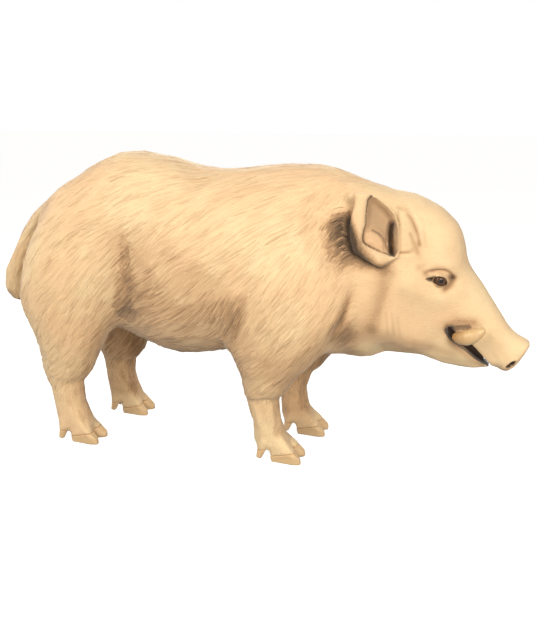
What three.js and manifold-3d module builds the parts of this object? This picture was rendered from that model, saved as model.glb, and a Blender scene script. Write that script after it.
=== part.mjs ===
// A life-size wild boar, an adult male that stands still on four feet, as a museum would show it.
// Millimetres, +X towards the snout, +Y to the animal's left, +Z up, the soles of the hooves on Z = 0.
// Each region of the body is a smooth implicit shape, a loft through named sections, and blends into
// its neighbours. Thin cuts part the body, and every part is then a closed mesh of its own.
import * as THREE from "three";
import { SimplifyModifier } from "three/addons/modifiers/SimplifyModifier.js";
import { mergeVertices } from "three/addons/utils/BufferGeometryUtils.js";
import Module from "manifold-3d";

const wasm = await Module();
wasm.setup();

// ---- Driving dimensions ------------------------------------------------------------------------

const CUT = 0.7; // width of a cut between two parts of the body
const FIT = 0.4; // clearance round what is set into the flesh: eye, tusk and ear
const MESH = {
  // grid: the step at which a part is measured; triangles: how many of them it keeps
  trunk: { grid: 30, triangles: 1300 },
  neck: { grid: 26, triangles: 400 },
  head: { grid: 15, triangles: 1780 },
  jaw: { grid: 13, triangles: 440 },
  tail: { grid: 13, triangles: 220 },
  ear: { grid: 8, triangles: 440 },
  tusk: { grid: 7, triangles: 150 },
  leg: { grid: 17, triangles: 320 },
  foot: { grid: 9, triangles: 360 },
  toe: { grid: 7, triangles: 88 },
  dewclaw: { grid: 7, triangles: 48 },
};
const ANKLE = 116; // height of the cut between a leg and its foot
const FORE = { track: 114, heel: 35, stride: { foot: 30, knee: 52 } }; // track: from the middle plane to a foot
const HIND = { track: 135, heel: -626, stride: { foot: 54, knee: 64 } }; // stride: how far the left leg leads
const HEAD_PITCH = THREE.MathUtils.degToRad(35.4); // the head's axis points down by this much
const HEAD_START = { x: 325, z: 638 }; // where the head's axis starts, inside the neck

// Sections of the trunk and neck, across X: back line, belly line, half width and widest level.
const TRUNK = [
  { at: -764, top: 744, low: 557, half: 42, waist: 661 },
  { at: -725, top: 776, low: 496, half: 97, waist: 656 },
  { at: -674, top: 813, low: 450, half: 139, waist: 651 },
  { at: -618, top: 843, low: 419, half: 168, waist: 646 },
  { at: -552, top: 885, low: 389, half: 186, waist: 638 },
  { at: -470, top: 917, low: 351, half: 198, waist: 626 },
  { at: -389, top: 915, low: 318, half: 206, waist: 606 },
  { at: -317, top: 904, low: 295, half: 214, waist: 586 },
  { at: -231, top: 878, low: 291, half: 220, waist: 571 },
  { at: -144, top: 871, low: 312, half: 221, waist: 571 },
  { at: -52, top: 876, low: 327, half: 216, waist: 581 },
  { at: 39, top: 887, low: 333, half: 206, waist: 591 },
  { at: 111, top: 888, low: 327, half: 192, waist: 596 },
  { at: 182, top: 882, low: 318, half: 174, waist: 596 },
  { at: 243, top: 859, low: 329, half: 158, waist: 596 },
  { at: 294, top: 841, low: 320, half: 145, waist: 596 },
  { at: 355, top: 823, low: 355, half: 129, waist: 606 },
  { at: 406, top: 811, low: 421, half: 107, waist: 646 },
];

// Sections of the head, across its own axis, measured above and below that axis.
const HEAD = [
  { at: -61, top: 122, low: -153, half: 112, waist: -30 },
  { at: 10, top: 195, low: -224, half: 130, waist: -40 },
  { at: 51, top: 210, low: -255, half: 132, waist: -40 },
  { at: 92, top: 208, low: -261, half: 128, waist: -30 },
  { at: 138, top: 198, low: -241, half: 120, waist: -20 },
  { at: 178, top: 170, low: -212, half: 110, waist: -10 },
  { at: 213, top: 137, low: -210, half: 100, waist: 0 },
  { at: 248, top: 120, low: -193, half: 88, waist: 0 },
  { at: 285, top: 110, low: -169, half: 76, waist: 0 },
  { at: 320, top: 97, low: -158, half: 66, waist: 0 },
  { at: 352, top: 85, low: -148, half: 58, waist: 0 },
  { at: 391, top: 70, low: -124, half: 50, waist: 0 },
  { at: 423, top: 58, low: -109, half: 46, waist: 2 },
  { at: 448, top: 53, low: -85, half: 44, waist: 0 },
  { at: 471, top: 54, low: -60, half: 44, waist: -2 },
  { at: 491, top: 58, low: -58, half: 47, waist: -2 },
  { at: 501, top: 58, low: -53, half: 46, waist: -2 },
];

// Level sections of the right legs, from the foot up: front line, back line, half width and middle.
const FORELEG = [
  { at: 64, top: 82, low: -26, half: 40, mid: -114 },
  { at: 88, top: 71, low: -26, half: 41, mid: -114 },
  { at: 110, top: 64, low: -28, half: 40, mid: -115 },
  { at: 136, top: 56, low: -30, half: 38, mid: -117 },
  { at: 176, top: 52, low: -40, half: 38, mid: -120 },
  { at: 206, top: 57, low: -49, half: 43, mid: -122 },
  { at: 222, top: 68, low: -53, half: 50, mid: -124 },
  { at: 270, top: 108, low: -60, half: 60, mid: -128 },
  { at: 310, top: 150, low: -79, half: 71, mid: -132 },
  { at: 358, top: 184, low: -94, half: 82, mid: -135 },
  { at: 449, top: 232, low: -100, half: 90, mid: -136 },
  { at: 566, top: 236, low: -70, half: 88, mid: -135 },
  { at: 686, top: 195, low: 0, half: 66, mid: -130 },
  { at: 776, top: 130, low: 30, half: 34, mid: -110 },
];
const HINDLEG = [
  { at: 64, top: -564, low: -684, half: 40, mid: -135 },
  { at: 88, top: -572, low: -687, half: 41, mid: -135 },
  { at: 110, top: -581, low: -691, half: 40, mid: -135 },
  { at: 142, top: -590, low: -695, half: 39, mid: -135 },
  { at: 176, top: -593, low: -700, half: 40, mid: -135 },
  { at: 208, top: -588, low: -716, half: 45, mid: -135 },
  { at: 242, top: -558, low: -724, half: 54, mid: -135 },
  { at: 288, top: -536, low: -728, half: 66, mid: -133 },
  { at: 327, top: -517, low: -736, half: 76, mid: -131 },
  { at: 404, top: -478, low: -768, half: 90, mid: -128 },
  { at: 454, top: -452, low: -790, half: 97, mid: -124 },
  { at: 532, top: -424, low: -783, half: 103, mid: -120 },
  { at: 610, top: -412, low: -760, half: 101, mid: -114 },
  { at: 684, top: -426, low: -726, half: 88, mid: -106 },
  { at: 774, top: -470, low: -660, half: 58, mid: -92 },
];

// A main toe, along X from its heel. Its middle is measured outwards from the middle of the foot.
const TOE = [
  { at: 4, top: 44, low: -8, half: 17, mid: 21 },
  { at: 24, top: 76, low: -9, half: 21, mid: 22 },
  { at: 50, top: 62, low: -9, half: 22, mid: 25 },
  { at: 72, top: 40, low: -8, half: 18, mid: 29 },
  { at: 86, top: 22, low: -6, half: 11, mid: 32 },
];
const CORONET = { heel: 17, toe: 40, dewclaw: 34, lead: 8 }; // height of a hoof's upper edge along the foot
const DEWCLAW = { back: 30, lean: 8, root: 66, tip: 14, out: 28, rootRadius: 20, tipRadius: 11 };

// The tail's middle line and radius, from the rump down to the tuft.
const TAIL = [
  { x: -731, z: 736, radius: 33 },
  { x: -778, z: 693, radius: 32 },
  { x: -822, z: 638, radius: 31 },
  { x: -857, z: 572, radius: 32 },
  { x: -886, z: 511, radius: 37 },
  { x: -892, z: 465, radius: 36 },
  { x: -880, z: 441, radius: 30 },
];

// An ear in its own frame: sections from the lower lobe up to the tip, forward and back of its spine.
const EAR = {
  middle: [318, -158, 722],
  lean: THREE.MathUtils.degToRad(19), // the tip leans back
  turn: THREE.MathUtils.degToRad(24), // the cup opens outwards and this much forwards
  rim: 17, // thickness of the wall round the cup
  floor: 14, // thickness of the bottom of the cup
  sections: [
    { at: -100, top: 16, low: -20, half: 16 },
    { at: -84, top: 44, low: -44, half: 24 },
    { at: -50, top: 56, low: -66, half: 30 },
    { at: -10, top: 66, low: -64, half: 31 },
    { at: 26, top: 64, low: -52, half: 27 },
    { at: 58, top: 48, low: -42, half: 21 },
    { at: 84, top: 26, low: -41, half: 16 },
    { at: 99, top: 8, low: -34, half: 11 },
  ],
};

const EYE = { along: 180, above: 58, out: 91, radius: 20 };
const TUSK = [
  { along: 302, above: -46, out: 68, radius: 14 },
  { along: 318, above: -40, out: 84, radius: 19 },
  { along: 334, above: -25, out: 92, radius: 20 },
  { along: 346, above: -4, out: 95, radius: 18 },
  { along: 353, above: 14, out: 95, radius: 13 },
  { along: 357, above: 26, out: 94, radius: 8 },
];

// ---- Implicit shapes: functions of a point, negative inside ---------------------------------------

// The union of two shapes, with a fillet of the given size between them.
function blend(a, b, size) {
  const near = Math.max(size - Math.abs(a - b), 0) / size;
  return Math.min(a, b) - near * near * size * 0.25;
}

// One shape without another, with the edge rounded to the given size.
const carve = (a, b, size) => -blend(-a, b, size);

// A smooth table of sizes through the sections, read at any place along them.
function table(sections, names) {
  const places = Float32Array.from(sections, (s) => s.at);
  const sizes = Float32Array.from(sections.flatMap((s) => names.map((name) => s[name])));
  const spline = new THREE.CubicInterpolant(places, sizes, names.length);
  return { first: places[0], last: places[places.length - 1], read: (at) => spline.evaluate(at) };
}

// A loft through sections along one axis. frame turns a point into [along, across, above].
// squareness 2 makes an ellipse of a section, and more than 2 a fuller one.
function loft(sections, frame, { squareness = 2.25, ends = [20, 20] } = {}) {
  const filled = sections.map((s) => ({ waist: (s.top + s.low) / 2, mid: 0, ...s }));
  const sizes = table(filled, ["top", "low", "half", "waist", "mid"]);
  const leastSlope = 1 / 400;
  const ratio = (along, across, above) => {
    const inside = Math.min(Math.max(along, sizes.first), sizes.last);
    const [top, low, half, waist, mid] = sizes.read(inside);
    const reach = above > waist ? top - waist : waist - low;
    const up = Math.abs(above - waist) / reach;
    const out = Math.abs(across - mid) / half;
    const end = along < inside ? ends[0] : ends[1];
    return Math.hypot((up ** squareness + out ** squareness) ** (1 / squareness), (along - inside) / end) - 1;
  };
  return (x, y, z) => {
    const [s, a, h] = frame(x, y, z);
    const value = ratio(s, a, h);
    const slope = Math.hypot(ratio(s + 1, a, h) - value, ratio(s, a + 1, h) - value, ratio(s, a, h + 1) - value);
    return value / Math.max(slope, leastSlope);
  };
}

// A straight limb of round section from a to b.
function bone(a, b, radiusA, radiusB) {
  const d = b.map((v, i) => v - a[i]);
  const square = d[0] ** 2 + d[1] ** 2 + d[2] ** 2;
  return (x, y, z) => {
    const along = ((x - a[0]) * d[0] + (y - a[1]) * d[1] + (z - a[2]) * d[2]) / square;
    const t = Math.min(Math.max(along, 0), 1);
    const away = Math.hypot(x - a[0] - t * d[0], y - a[1] - t * d[1], z - a[2] - t * d[2]);
    return away - radiusA - (radiusB - radiusA) * t;
  };
}

// A chain of such limbs through joints of { at, radius }.
function chain(joints, fillet) {
  const links = joints.slice(1).map((b, i) => bone(joints[i].at, b.at, joints[i].radius, b.radius));
  return (x, y, z) => links.reduce((d, link) => blend(d, link(x, y, z), fillet), 1e4);
}

// A shape that is given on the right side and doubled to the left.
const onBothSides = (shape) => (x, y, z) => shape(x, -Math.abs(y), z);

// ---- The head's own frame: along its axis, across, and above the axis -----------------------------

const cosPitch = Math.cos(HEAD_PITCH);
const sinPitch = Math.sin(HEAD_PITCH);

function toHead(x, y, z) {
  const dx = x - HEAD_START.x;
  const dz = z - HEAD_START.z;
  return [dx * cosPitch - dz * sinPitch, y, dx * sinPitch + dz * cosPitch];
}

function onHead(along, out, above) {
  const x = HEAD_START.x + along * cosPitch + above * sinPitch;
  return [x, out, HEAD_START.z - along * sinPitch + above * cosPitch];
}

// ---- The flesh ------------------------------------------------------------------------------------

const trunk = loft(TRUNK, (x, y, z) => [x, y, z], { ends: [26, 60] });
const skull = loft(HEAD, toHead, { squareness: 2.35, ends: [70, 9] });
const brow = onBothSides(bone(onHead(140, -84, 92), onHead(204, -66, 80), 18, 12));
const cheek = onBothSides(bone(onHead(110, -100, 0), onHead(222, -72, 20), 34, 20));
const jowl = onBothSides(bone(onHead(90, -84, -140), onHead(225, -56, -120), 50, 34));
const throat = bone([262, 0, 372], [304, 0, 374], 50, 48);
const orbit = onBothSides(bone(onHead(170, -112, 64), onHead(214, -98, 56), 9, 8));
const lip = onBothSides(bone(onHead(262, -70, -30), onHead(340, -56, -30), 16, 12));

// A leg on the given side. It leads by the stride at its foot and knee, and not at all at its hip.
function legShape(sections, side, stride) {
  const { smoothstep, lerp } = THREE.MathUtils;
  const ahead = (z) => lerp(stride.foot, stride.knee, smoothstep(z, 130, 230)) * (1 - smoothstep(z, 280, 560));
  return loft(sections, (x, y, z) => [z, -side * y, x - ahead(z)], { squareness: 2.1, ends: [40, 40] });
}

// One toe of a foot: out is +1 for the toe that lies outwards and -1 for the inner one.
function toeShape(leg, out) {
  const way = out * leg.side;
  return loft(TOE, (x, y, z) => [x - leg.heel, way * (y - leg.middle), z], { squareness: 2.4, ends: [8, 8] });
}

function dewclawShape(leg, out) {
  const x = leg.heel - DEWCLAW.back;
  const way = out * leg.side * DEWCLAW.out;
  const root = [x + DEWCLAW.lean, leg.middle + way * 0.8, DEWCLAW.root];
  const tip = [x - DEWCLAW.lean, leg.middle + way, DEWCLAW.tip];
  return bone(root, tip, DEWCLAW.rootRadius, DEWCLAW.tipRadius);
}

const OUT = { outer: 1, inner: -1 };
const LEGS = ["fore", "hind"].flatMap((place) => ["right", "left"].map((name) => {
  const side = name === "right" ? -1 : 1;
  const { track, heel, stride } = place === "fore" ? FORE : HIND;
  const lead = side > 0 ? stride : { foot: 0, knee: 0 };
  const leg = { name: `${place}_${name}`, place, side, lead, heel: heel + lead.foot, middle: side * track };
  leg.shape = legShape(place === "fore" ? FORELEG : HINDLEG, side, lead);
  leg.toes = Object.values(OUT).map((out) => toeShape(leg, out));
  leg.dewclaws = Object.values(OUT).map((out) => dewclawShape(leg, out));
  return leg;
}));

// The whole body but for its tail, ears, eyes and tusks.
function flesh(x, y, z) {
  let d = trunk(x, y, z);
  if (x > 120) {
    d = blend(d, skull(x, y, z), 46);
    d = blend(d, cheek(x, y, z), 26);
    d = blend(d, jowl(x, y, z), 40);
    d = blend(d, brow(x, y, z), 16);
    d = blend(d, throat(x, y, z), 30);
    d = blend(d, lip(x, y, z), 12);
    d = carve(d, orbit(x, y, z), 16);
  }
  for (const leg of LEGS) {
    if (y * leg.side < -60) continue;
    d = blend(d, leg.shape(x, y, z), z > 300 ? 44 : 14);
    if (z > 160) continue;
    const [outer, inner] = leg.toes.map((toe) => toe(x, y, z));
    d = blend(d, blend(outer, inner, 6), 14);
    for (const dewclaw of leg.dewclaws) d = blend(d, dewclaw(x, y, z), 8);
  }
  return d;
}

const tail = chain(TAIL.map(({ x, z, radius }) => ({ at: [x, 0, z], radius })), 10);
const tusk = onBothSides(chain(TUSK.map((t) => ({ at: onHead(t.along, -t.out, t.above), radius: t.radius })), 6));

// The right ear: a leaf with a cup sunk into its outer side. The left ear mirrors it.
function toEar(x, y, z) {
  const [cx, cy, cz] = EAR.middle;
  const forward = (x - cx) * Math.cos(EAR.turn) + (y - cy) * Math.sin(EAR.turn);
  const outward = (x - cx) * Math.sin(EAR.turn) - (y - cy) * Math.cos(EAR.turn);
  const spine = (z - cz) * Math.cos(EAR.lean) - forward * Math.sin(EAR.lean);
  const across = (z - cz) * Math.sin(EAR.lean) + forward * Math.cos(EAR.lean);
  return [spine, outward, across];
}

const leaf = loft(EAR.sections, toEar, { squareness: 2.1, ends: [8, 8] });
const cupSections = EAR.sections.slice(1, -1).map(({ at, top, low, half }) =>
  ({ at: at * 0.94, top: top - EAR.rim, low: low + EAR.rim, half: half + EAR.rim - EAR.floor / 2, mid: half + EAR.rim }));
const cup = loft(cupSections, toEar, { squareness: 2.1, ends: [10, 10] });
const ear = onBothSides((x, y, z) => carve(leaf(x, y, z), cup(x, y, z), 9));

// ---- From an implicit shape to a closed mesh ------------------------------------------------------

// One vertex in each cell of a grid that the surface crosses, moved onto the surface.
function surfaceOf(shape, { low, high }, facet) {
  const count = low.map((v, i) => Math.ceil((high[i] - v) / facet) + 3);
  const place = (cell) => cell.map((n, i) => low[i] + (n - 1) * facet);
  const at = ([i, j, k]) => i + count[0] * (j + count[1] * k);
  const boxed = (x, y, z) => {
    const outside = [x, y, z].map((v, i) => Math.max(low[i] - v, v - high[i]));
    return Math.max(shape(x, y, z), ...outside);
  };
  const cells = [];
  for (let k = 0; k < count[2]; k++)
    for (let j = 0; j < count[1]; j++)
      for (let i = 0; i < count[0]; i++) cells.push([i, j, k]);
  const values = Float32Array.from(cells, (cell) => boxed(...place(cell)));
  const step = (cell, axis, by = 1) => cell.map((n, i) => (i === axis ? n + by : n));

  const vertices = [];
  const vertexOf = new Map();
  for (const cell of cells) {
    if (cell.some((n, i) => n + 1 >= count[i])) continue;
    const crossings = [];
    for (let axis = 0; axis < 3; axis++)
      for (const [u, v] of [[0, 0], [1, 0], [0, 1], [1, 1]]) {
        const from = step(step(cell, (axis + 1) % 3, u), (axis + 2) % 3, v);
        const a = values[at(from)];
        const b = values[at(step(from, axis))];
        if ((a < 0) !== (b < 0)) crossings.push(place(step(from, axis, a / (a - b))));
      }
    if (!crossings.length) continue;
    const middle = [0, 1, 2].map((i) => crossings.reduce((sum, p) => sum + p[i], 0) / crossings.length);
    vertexOf.set(at(cell), vertices.length);
    vertices.push(settle(boxed, middle, facet * 0.4));
  }

  const faces = [];
  for (const cell of cells) {
    if (cell.some((n, i) => n < 1 || n + 1 >= count[i])) continue;
    for (let axis = 0; axis < 3; axis++) {
      const inside = values[at(cell)] < 0;
      if (inside === values[at(step(cell, axis))] < 0) continue;
      const ring = [[0, 0], [1, 0], [1, 1], [0, 1]].map(([u, v]) =>
        vertexOf.get(at(step(step(cell, (axis + 1) % 3, -u), (axis + 2) % 3, -v))));
      if (!inside) ring.reverse();
      faces.push(ring[0], ring[1], ring[2], ring[0], ring[2], ring[3]);
    }
  }
  const geometry = new THREE.BufferGeometry();
  geometry.setAttribute("position", new THREE.Float32BufferAttribute(vertices.flat(), 3));
  return geometry.setIndex(faces);
}

// A closed solid of what a shape fills in a box of space. Flat stretches get the larger triangles.
async function solidOf(shape, space, { grid, triangles }) {
  const fine = surfaceOf(shape, space, grid);
  const { count } = fine.attributes.position;
  const spare = count - triangles / 2;
  return solid(spare > 0 ? await new SimplifyModifier().modify(fine, spare) : fine);
}

// Moves a point onto the surface along the shape's slope, by no more than reach.
function settle(shape, point, reach) {
  const p = [...point];
  for (let round = 0; round < 3; round++) {
    const value = shape(...p);
    const slope = [0, 1, 2].map((axis) => (shape(...p.map((v, i) => v + (i === axis ? 0.5 : 0))) - value) / 0.5);
    const steep = Math.max(slope[0] ** 2 + slope[1] ** 2 + slope[2] ** 2, 0.1);
    slope.forEach((v, i) => (p[i] -= (value * v) / steep));
  }
  const moved = Math.hypot(...p.map((v, i) => v - point[i]));
  return moved > reach ? point.map((v, i) => v + ((p[i] - v) * reach) / moved) : p;
}

// ---- Solids ---------------------------------------------------------------------------------------

function solid(geometry) {
  const bare = geometry.clone();
  for (const name of Object.keys(bare.attributes)) if (name !== "position") bare.deleteAttribute(name);
  const { attributes, index } = mergeVertices(bare, 1e-3);
  const vertProperties = Float32Array.from(attributes.position.array);
  return new wasm.Manifold(new wasm.Mesh({ numProp: 3, vertProperties, triVerts: Uint32Array.from(index.array) }));
}

// A box of space: from lowest to highest corner.
const box = (low, high) => ({ low, high });

// A block whose outline is given in the side view, as [x, z] corners, running from y0 to y1.
function block(outline, y0 = -WIDE, y1 = WIDE) {
  const shape = new THREE.Shape(outline.map(([x, z]) => new THREE.Vector2(x, z)));
  const geometry = new THREE.ExtrudeGeometry(shape, { depth: y1 - y0, bevelEnabled: false });
  return solid(geometry.rotateX(Math.PI / 2).translate(0, y1, 0));
}

const WIDE = 400; // half the width of a block that cuts right through the animal
const FAR = 1200; // beyond the animal in every direction
const above = (z) => block([[-FAR, z], [FAR, z], [FAR, FAR], [-FAR, FAR]]);
const below = (z) => block([[-FAR, -FAR], [FAR, -FAR], [FAR, z], [-FAR, z]]);

// What lies ahead of a line in the side view, from [x, z] at its top to [x, z] at its foot.
function ahead([[topX, topZ], [footX, footZ]], gap) {
  const x = (z) => topX + ((z - topZ) * (footX - topX)) / (footZ - topZ) + gap;
  return block([[x(-FAR), -FAR], [FAR + WIDE, -FAR], [FAR + WIDE, FAR], [x(FAR), FAR]]);
}

// The same solid, larger all round by the given clearance.
function grown(made, clearance) {
  const geometry = geometryOf(made);
  const { position, normal } = geometry.attributes;
  const out = new THREE.Vector3();
  for (let i = 0; i < position.count; i++) {
    out.fromBufferAttribute(normal, i).multiplyScalar(clearance);
    position.setXYZ(i, position.getX(i) + out.x, position.getY(i) + out.y, position.getZ(i) + out.z);
  }
  return solid(geometry);
}

function geometryOf(made) {
  const { vertProperties, triVerts } = made.getMesh();
  const geometry = new THREE.BufferGeometry();
  geometry.setAttribute("position", new THREE.BufferAttribute(vertProperties, 3));
  geometry.setIndex(Array.from(triVerts));
  geometry.computeVertexNormals();
  return geometry;
}

// ---- Where the body is parted ---------------------------------------------------------------------

const NECK_CUT = [[78, 900], [256, 300]];
const HEAD_CUT = [[226, 880], [312, 300]];
const MOUTH = [onHead(180, 0, -70), onHead(286, 0, -44), onHead(360, 0, -45), onHead(540, 0, -72)];
const JAW_BACK = onHead(154, 0, -306);
const LEG_OUTLINE = {
  fore: [[-130, -FAR], [-128, 330], [-80, 396], [40, 430], [150, 410], [228, 350], [230, -FAR]],
  hind: [[-830, -FAR], [-830, 372], [-730, 440], [-610, 462], [-490, 424], [-415, 345], [-395, -FAR]],
};
const INNER_SIDE = 38; // from the middle plane to the inner side of a leg

// The block that a leg is cut out with, larger by the given gap.
function legBlock(leg, gap) {
  const outline = LEG_OUTLINE[leg.place].map(([x, z]) => [x, z + gap]);
  outline[0][0] -= gap;
  outline[1][0] -= gap;
  outline[5][0] += gap;
  outline[6][0] += gap + leg.lead.knee;
  const inner = INNER_SIDE - gap;
  return leg.side > 0 ? block(outline, inner, WIDE) : block(outline, -WIDE, -inner);
}

// The block below the mouth line, larger by the given gap.
function jawBlock(gap) {
  const [jawX, , jawZ] = JAW_BACK;
  const lips = MOUTH.map(([x, , z]) => [x, z + gap]);
  return block([[jawX - gap, -FAR], [jawX - gap, jawZ + gap], ...lips, [FAR, -FAR]]);
}

// The block below the upper edge of the hooves and dewclaws, larger by the given gap.
function coronetBlock(leg, gap) {
  const { heel, toe, dewclaw, lead } = CORONET;
  const back = leg.heel - lead;
  const front = leg.heel + TOE[TOE.length - 1].at;
  const edge = [[-FAR, dewclaw], [back, dewclaw], [back, heel], [leg.heel, heel], [front, toe], [FAR, toe]];
  return block([[-FAR, -FAR], ...edge.map(([x, z]) => [x, z + gap]), [FAR, -FAR]]);
}

// ---- The parts ------------------------------------------------------------------------------------

const SIDES = { right: -1, left: 1 };
const half = CUT / 2;
const legs = LEGS.map((leg) => legBlock(leg, half));
const without = (made, ...others) => others.reduce((rest, other) => rest.subtract(other), made);

function earSolid(side) {
  const [x, , z] = EAR.middle;
  const [low, high] = side > 0 ? [60, 230] : [-230, -60];
  return solidOf(ear, box([x - 130, low, z - 130], [x + 120, high, z + 130]), MESH.ear);
}

function tuskSolid(side) {
  const [x, , z] = onHead(325, 0, -15);
  const [low, high] = side > 0 ? [20, 130] : [-130, -20];
  return solidOf(tusk, box([x - 80, low, z - 80], [x + 80, high, z + 80]), MESH.tusk);
}

function eyeSolid(side) {
  const middle = onHead(EYE.along, side * EYE.out, EYE.above);
  return solid(new THREE.SphereGeometry(EYE.radius, 12, 8).translate(...middle));
}

async function trunkSolid() {
  const whole = await solidOf(flesh, box([-800, -260, 240], [300, 260, 940]), MESH.trunk);
  return without(whole, ahead(NECK_CUT, -half), ...legs);
}

async function neckSolid() {
  const whole = await solidOf(flesh, box([60, -240, 280], [350, 240, 920]), MESH.neck);
  return without(whole.intersect(ahead(NECK_CUT, half)), ahead(HEAD_CUT, -half), ...legs);
}

async function headSolid(inserts) {
  const whole = await solidOf(flesh, box([210, -200, 270], [800, 200, 900]), MESH.head);
  return without(whole.intersect(ahead(HEAD_CUT, half)), jawBlock(half), ...inserts);
}

async function jawSolid(inserts) {
  const whole = await solidOf(flesh, box([260, -180, 270], [760, 180, 500]), MESH.jaw);
  return without(whole.intersect(ahead(HEAD_CUT, half)).intersect(jawBlock(-half)), ...inserts);
}

async function legSolid(leg) {
  const xs = LEG_OUTLINE[leg.place].map(([x]) => x);
  const [y0, y1] = leg.side > 0 ? [20, 260] : [-260, -20];
  const space = box([Math.min(...xs) - 10, y0, ANKLE - 30], [Math.max(...xs) + 50, y1, 490]);
  const whole = await solidOf(flesh, space, MESH.leg);
  return whole.intersect(legBlock(leg, -half)).intersect(above(ANKLE + half));
}

async function footSolid(leg) {
  const space = box([leg.heel - 70, leg.middle - 70, -14], [leg.heel + 110, leg.middle + 70, ANKLE + 24]);
  const whole = await solidOf(flesh, space, MESH.foot);
  return without(whole.intersect(below(ANKLE - half)), coronetBlock(leg, half), below(0));
}

// A hoof or dewclaw: what is horn of a toe, above the floor and below the coronet.
async function hornSolid(leg, shape, out, mesh) {
  const { heel, middle } = leg;
  const reach = TOE[TOE.length - 1].at + 20;
  const way = out * leg.side;
  const [y0, y1] = way > 0 ? [middle, middle + 66] : [middle - 66, middle];
  const space = box([heel - 60, y0 - 10, -20], [heel + reach, y1 + 10, 100]);
  const mine = block([[-FAR, -FAR], [FAR, -FAR], [FAR, FAR], [-FAR, FAR]], y0 + half, y1 - half);
  const whole = await solidOf(shape, space, mesh);
  return whole.intersect(coronetBlock(leg, -half)).intersect(mine).intersect(above(0));
}

// ---- Materials and the finished model -------------------------------------------------------------

const finish = (color, roughness) => new THREE.MeshStandardMaterial({ color, roughness, metalness: 0 });
const FINISH = {
  coat: finish("#e9cd9f", 0.85),
  horn: finish("#8d7a63", 0.5),
  ivory: finish("#f0e4c6", 0.35),
  eye: finish("#2c1a10", 0.1),
};

const boar = new THREE.Group();

function add(name, made, material) {
  const mesh = new THREE.Mesh(geometryOf(made), material);
  mesh.name = name;
  boar.add(mesh);
}

const inserts = [];
for (const [name, side] of Object.entries(SIDES)) {
  const eye = eyeSolid(side);
  const horn = await tuskSolid(side);
  add(`eye_${name}`, eye, FINISH.eye);
  add(`tusk_${name}`, horn, FINISH.ivory);
  inserts.push(grown(eye, FIT), grown(horn, FIT), horn);
}
const trunkPart = await trunkSolid();
const neckPart = await neckSolid();
const headPart = await headSolid(inserts);
add("trunk", trunkPart, FINISH.coat);
add("neck", neckPart, FINISH.coat);
add("head", headPart, FINISH.coat);
add("lower_jaw", await jawSolid(inserts), FINISH.coat);

const tailWhole = await solidOf(tail, box([-940, -60, 400], [-660, 60, 800]), MESH.tail);
add("tail", tailWhole.subtract(grown(trunkPart, FIT)), FINISH.coat);
for (const [name, side] of Object.entries(SIDES))
  add(`ear_${name}`, without(await earSolid(side), grown(headPart, FIT), grown(neckPart, FIT)), FINISH.coat);

for (const leg of LEGS) {
  add(`leg_${leg.name}`, await legSolid(leg), FINISH.coat);
  add(`foot_${leg.name}`, await footSolid(leg), FINISH.coat);
  for (const [i, [which, out]] of Object.entries(OUT).entries()) {
    add(`hoof_${leg.name}_${which}`, await hornSolid(leg, leg.toes[i], out, MESH.toe), FINISH.horn);
    add(`dewclaw_${leg.name}_${which}`, await hornSolid(leg, leg.dewclaws[i], out, MESH.dewclaw), FINISH.horn);
  }
}

// The origin lies on the floor, under the middle of the animal.
const extent = new THREE.Box3().setFromObject(boar);
const middle = extent.getCenter(new THREE.Vector3());
boar.position.set(-middle.x, -middle.y, -extent.min.z);

export default boar;
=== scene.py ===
"""A life-size wild boar, standing: one skin, its coat in tufts, eyes, tusks, hooves and dewclaws."""
import math

import bmesh
import bpy
import numpy as np
import openvdb
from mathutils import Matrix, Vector
from mathutils.bvhtree import BVHTree


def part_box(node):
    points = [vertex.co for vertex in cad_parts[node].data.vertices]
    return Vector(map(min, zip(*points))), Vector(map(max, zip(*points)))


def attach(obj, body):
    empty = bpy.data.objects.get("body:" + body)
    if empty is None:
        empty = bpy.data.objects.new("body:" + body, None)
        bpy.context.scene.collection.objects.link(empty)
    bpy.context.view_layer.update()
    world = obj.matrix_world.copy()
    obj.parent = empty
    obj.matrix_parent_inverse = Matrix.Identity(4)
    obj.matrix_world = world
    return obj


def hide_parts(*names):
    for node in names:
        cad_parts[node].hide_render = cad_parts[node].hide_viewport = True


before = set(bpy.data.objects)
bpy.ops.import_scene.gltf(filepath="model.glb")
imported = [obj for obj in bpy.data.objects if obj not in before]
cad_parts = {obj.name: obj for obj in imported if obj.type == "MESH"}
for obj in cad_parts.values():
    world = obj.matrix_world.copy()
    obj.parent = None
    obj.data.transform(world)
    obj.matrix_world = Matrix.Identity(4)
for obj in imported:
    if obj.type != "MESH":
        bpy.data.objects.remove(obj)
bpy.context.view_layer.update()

MM = 0.001
SEED = 20
SIDES = {"right": -1.0, "left": 1.0}
LIMBS = [f"{end}_{side}" for end in ("fore", "hind") for side in SIDES]
FLESH = ["trunk", "neck", "head", "lower_jaw", "tail"]
FLESH += [f"{part}_{limb}" for part in ("leg", "foot") for limb in LIMBS]
EARS = [f"ear_{side}" for side in SIDES]

# ---------------------------------------------------------------- the skin's making, in millimetres
GRID = 3.6            # the clay's own grain
FACET_ROUNDS = 26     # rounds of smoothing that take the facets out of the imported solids
SKIN_TRIANGLES = 188000
BROAD_ROUNDS = 45     # more of them on the broad forms
BROAD_LOSS = 0.8      # what those take off
TAIL_LOSS = 1.4       # and what they take off the tail besides
CLOSING = 0.9         # how far the flesh nodes grow so that they meet

# ---------------------------------------------------------------- small tools for arrays


def smoothstep(value, start, end):
    t = np.clip((value - start) / (end - start), 0.0, 1.0)
    return t * t * (3.0 - 2.0 * t)


def unit(vectors):
    return vectors / np.maximum(np.linalg.norm(vectors, axis=-1, keepdims=True), 1e-12)


def table(value, rows):
    """Reads a value from rows of (where, value), easing between them."""
    places, values = zip(*rows)
    return np.interp(value, places, values)


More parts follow.
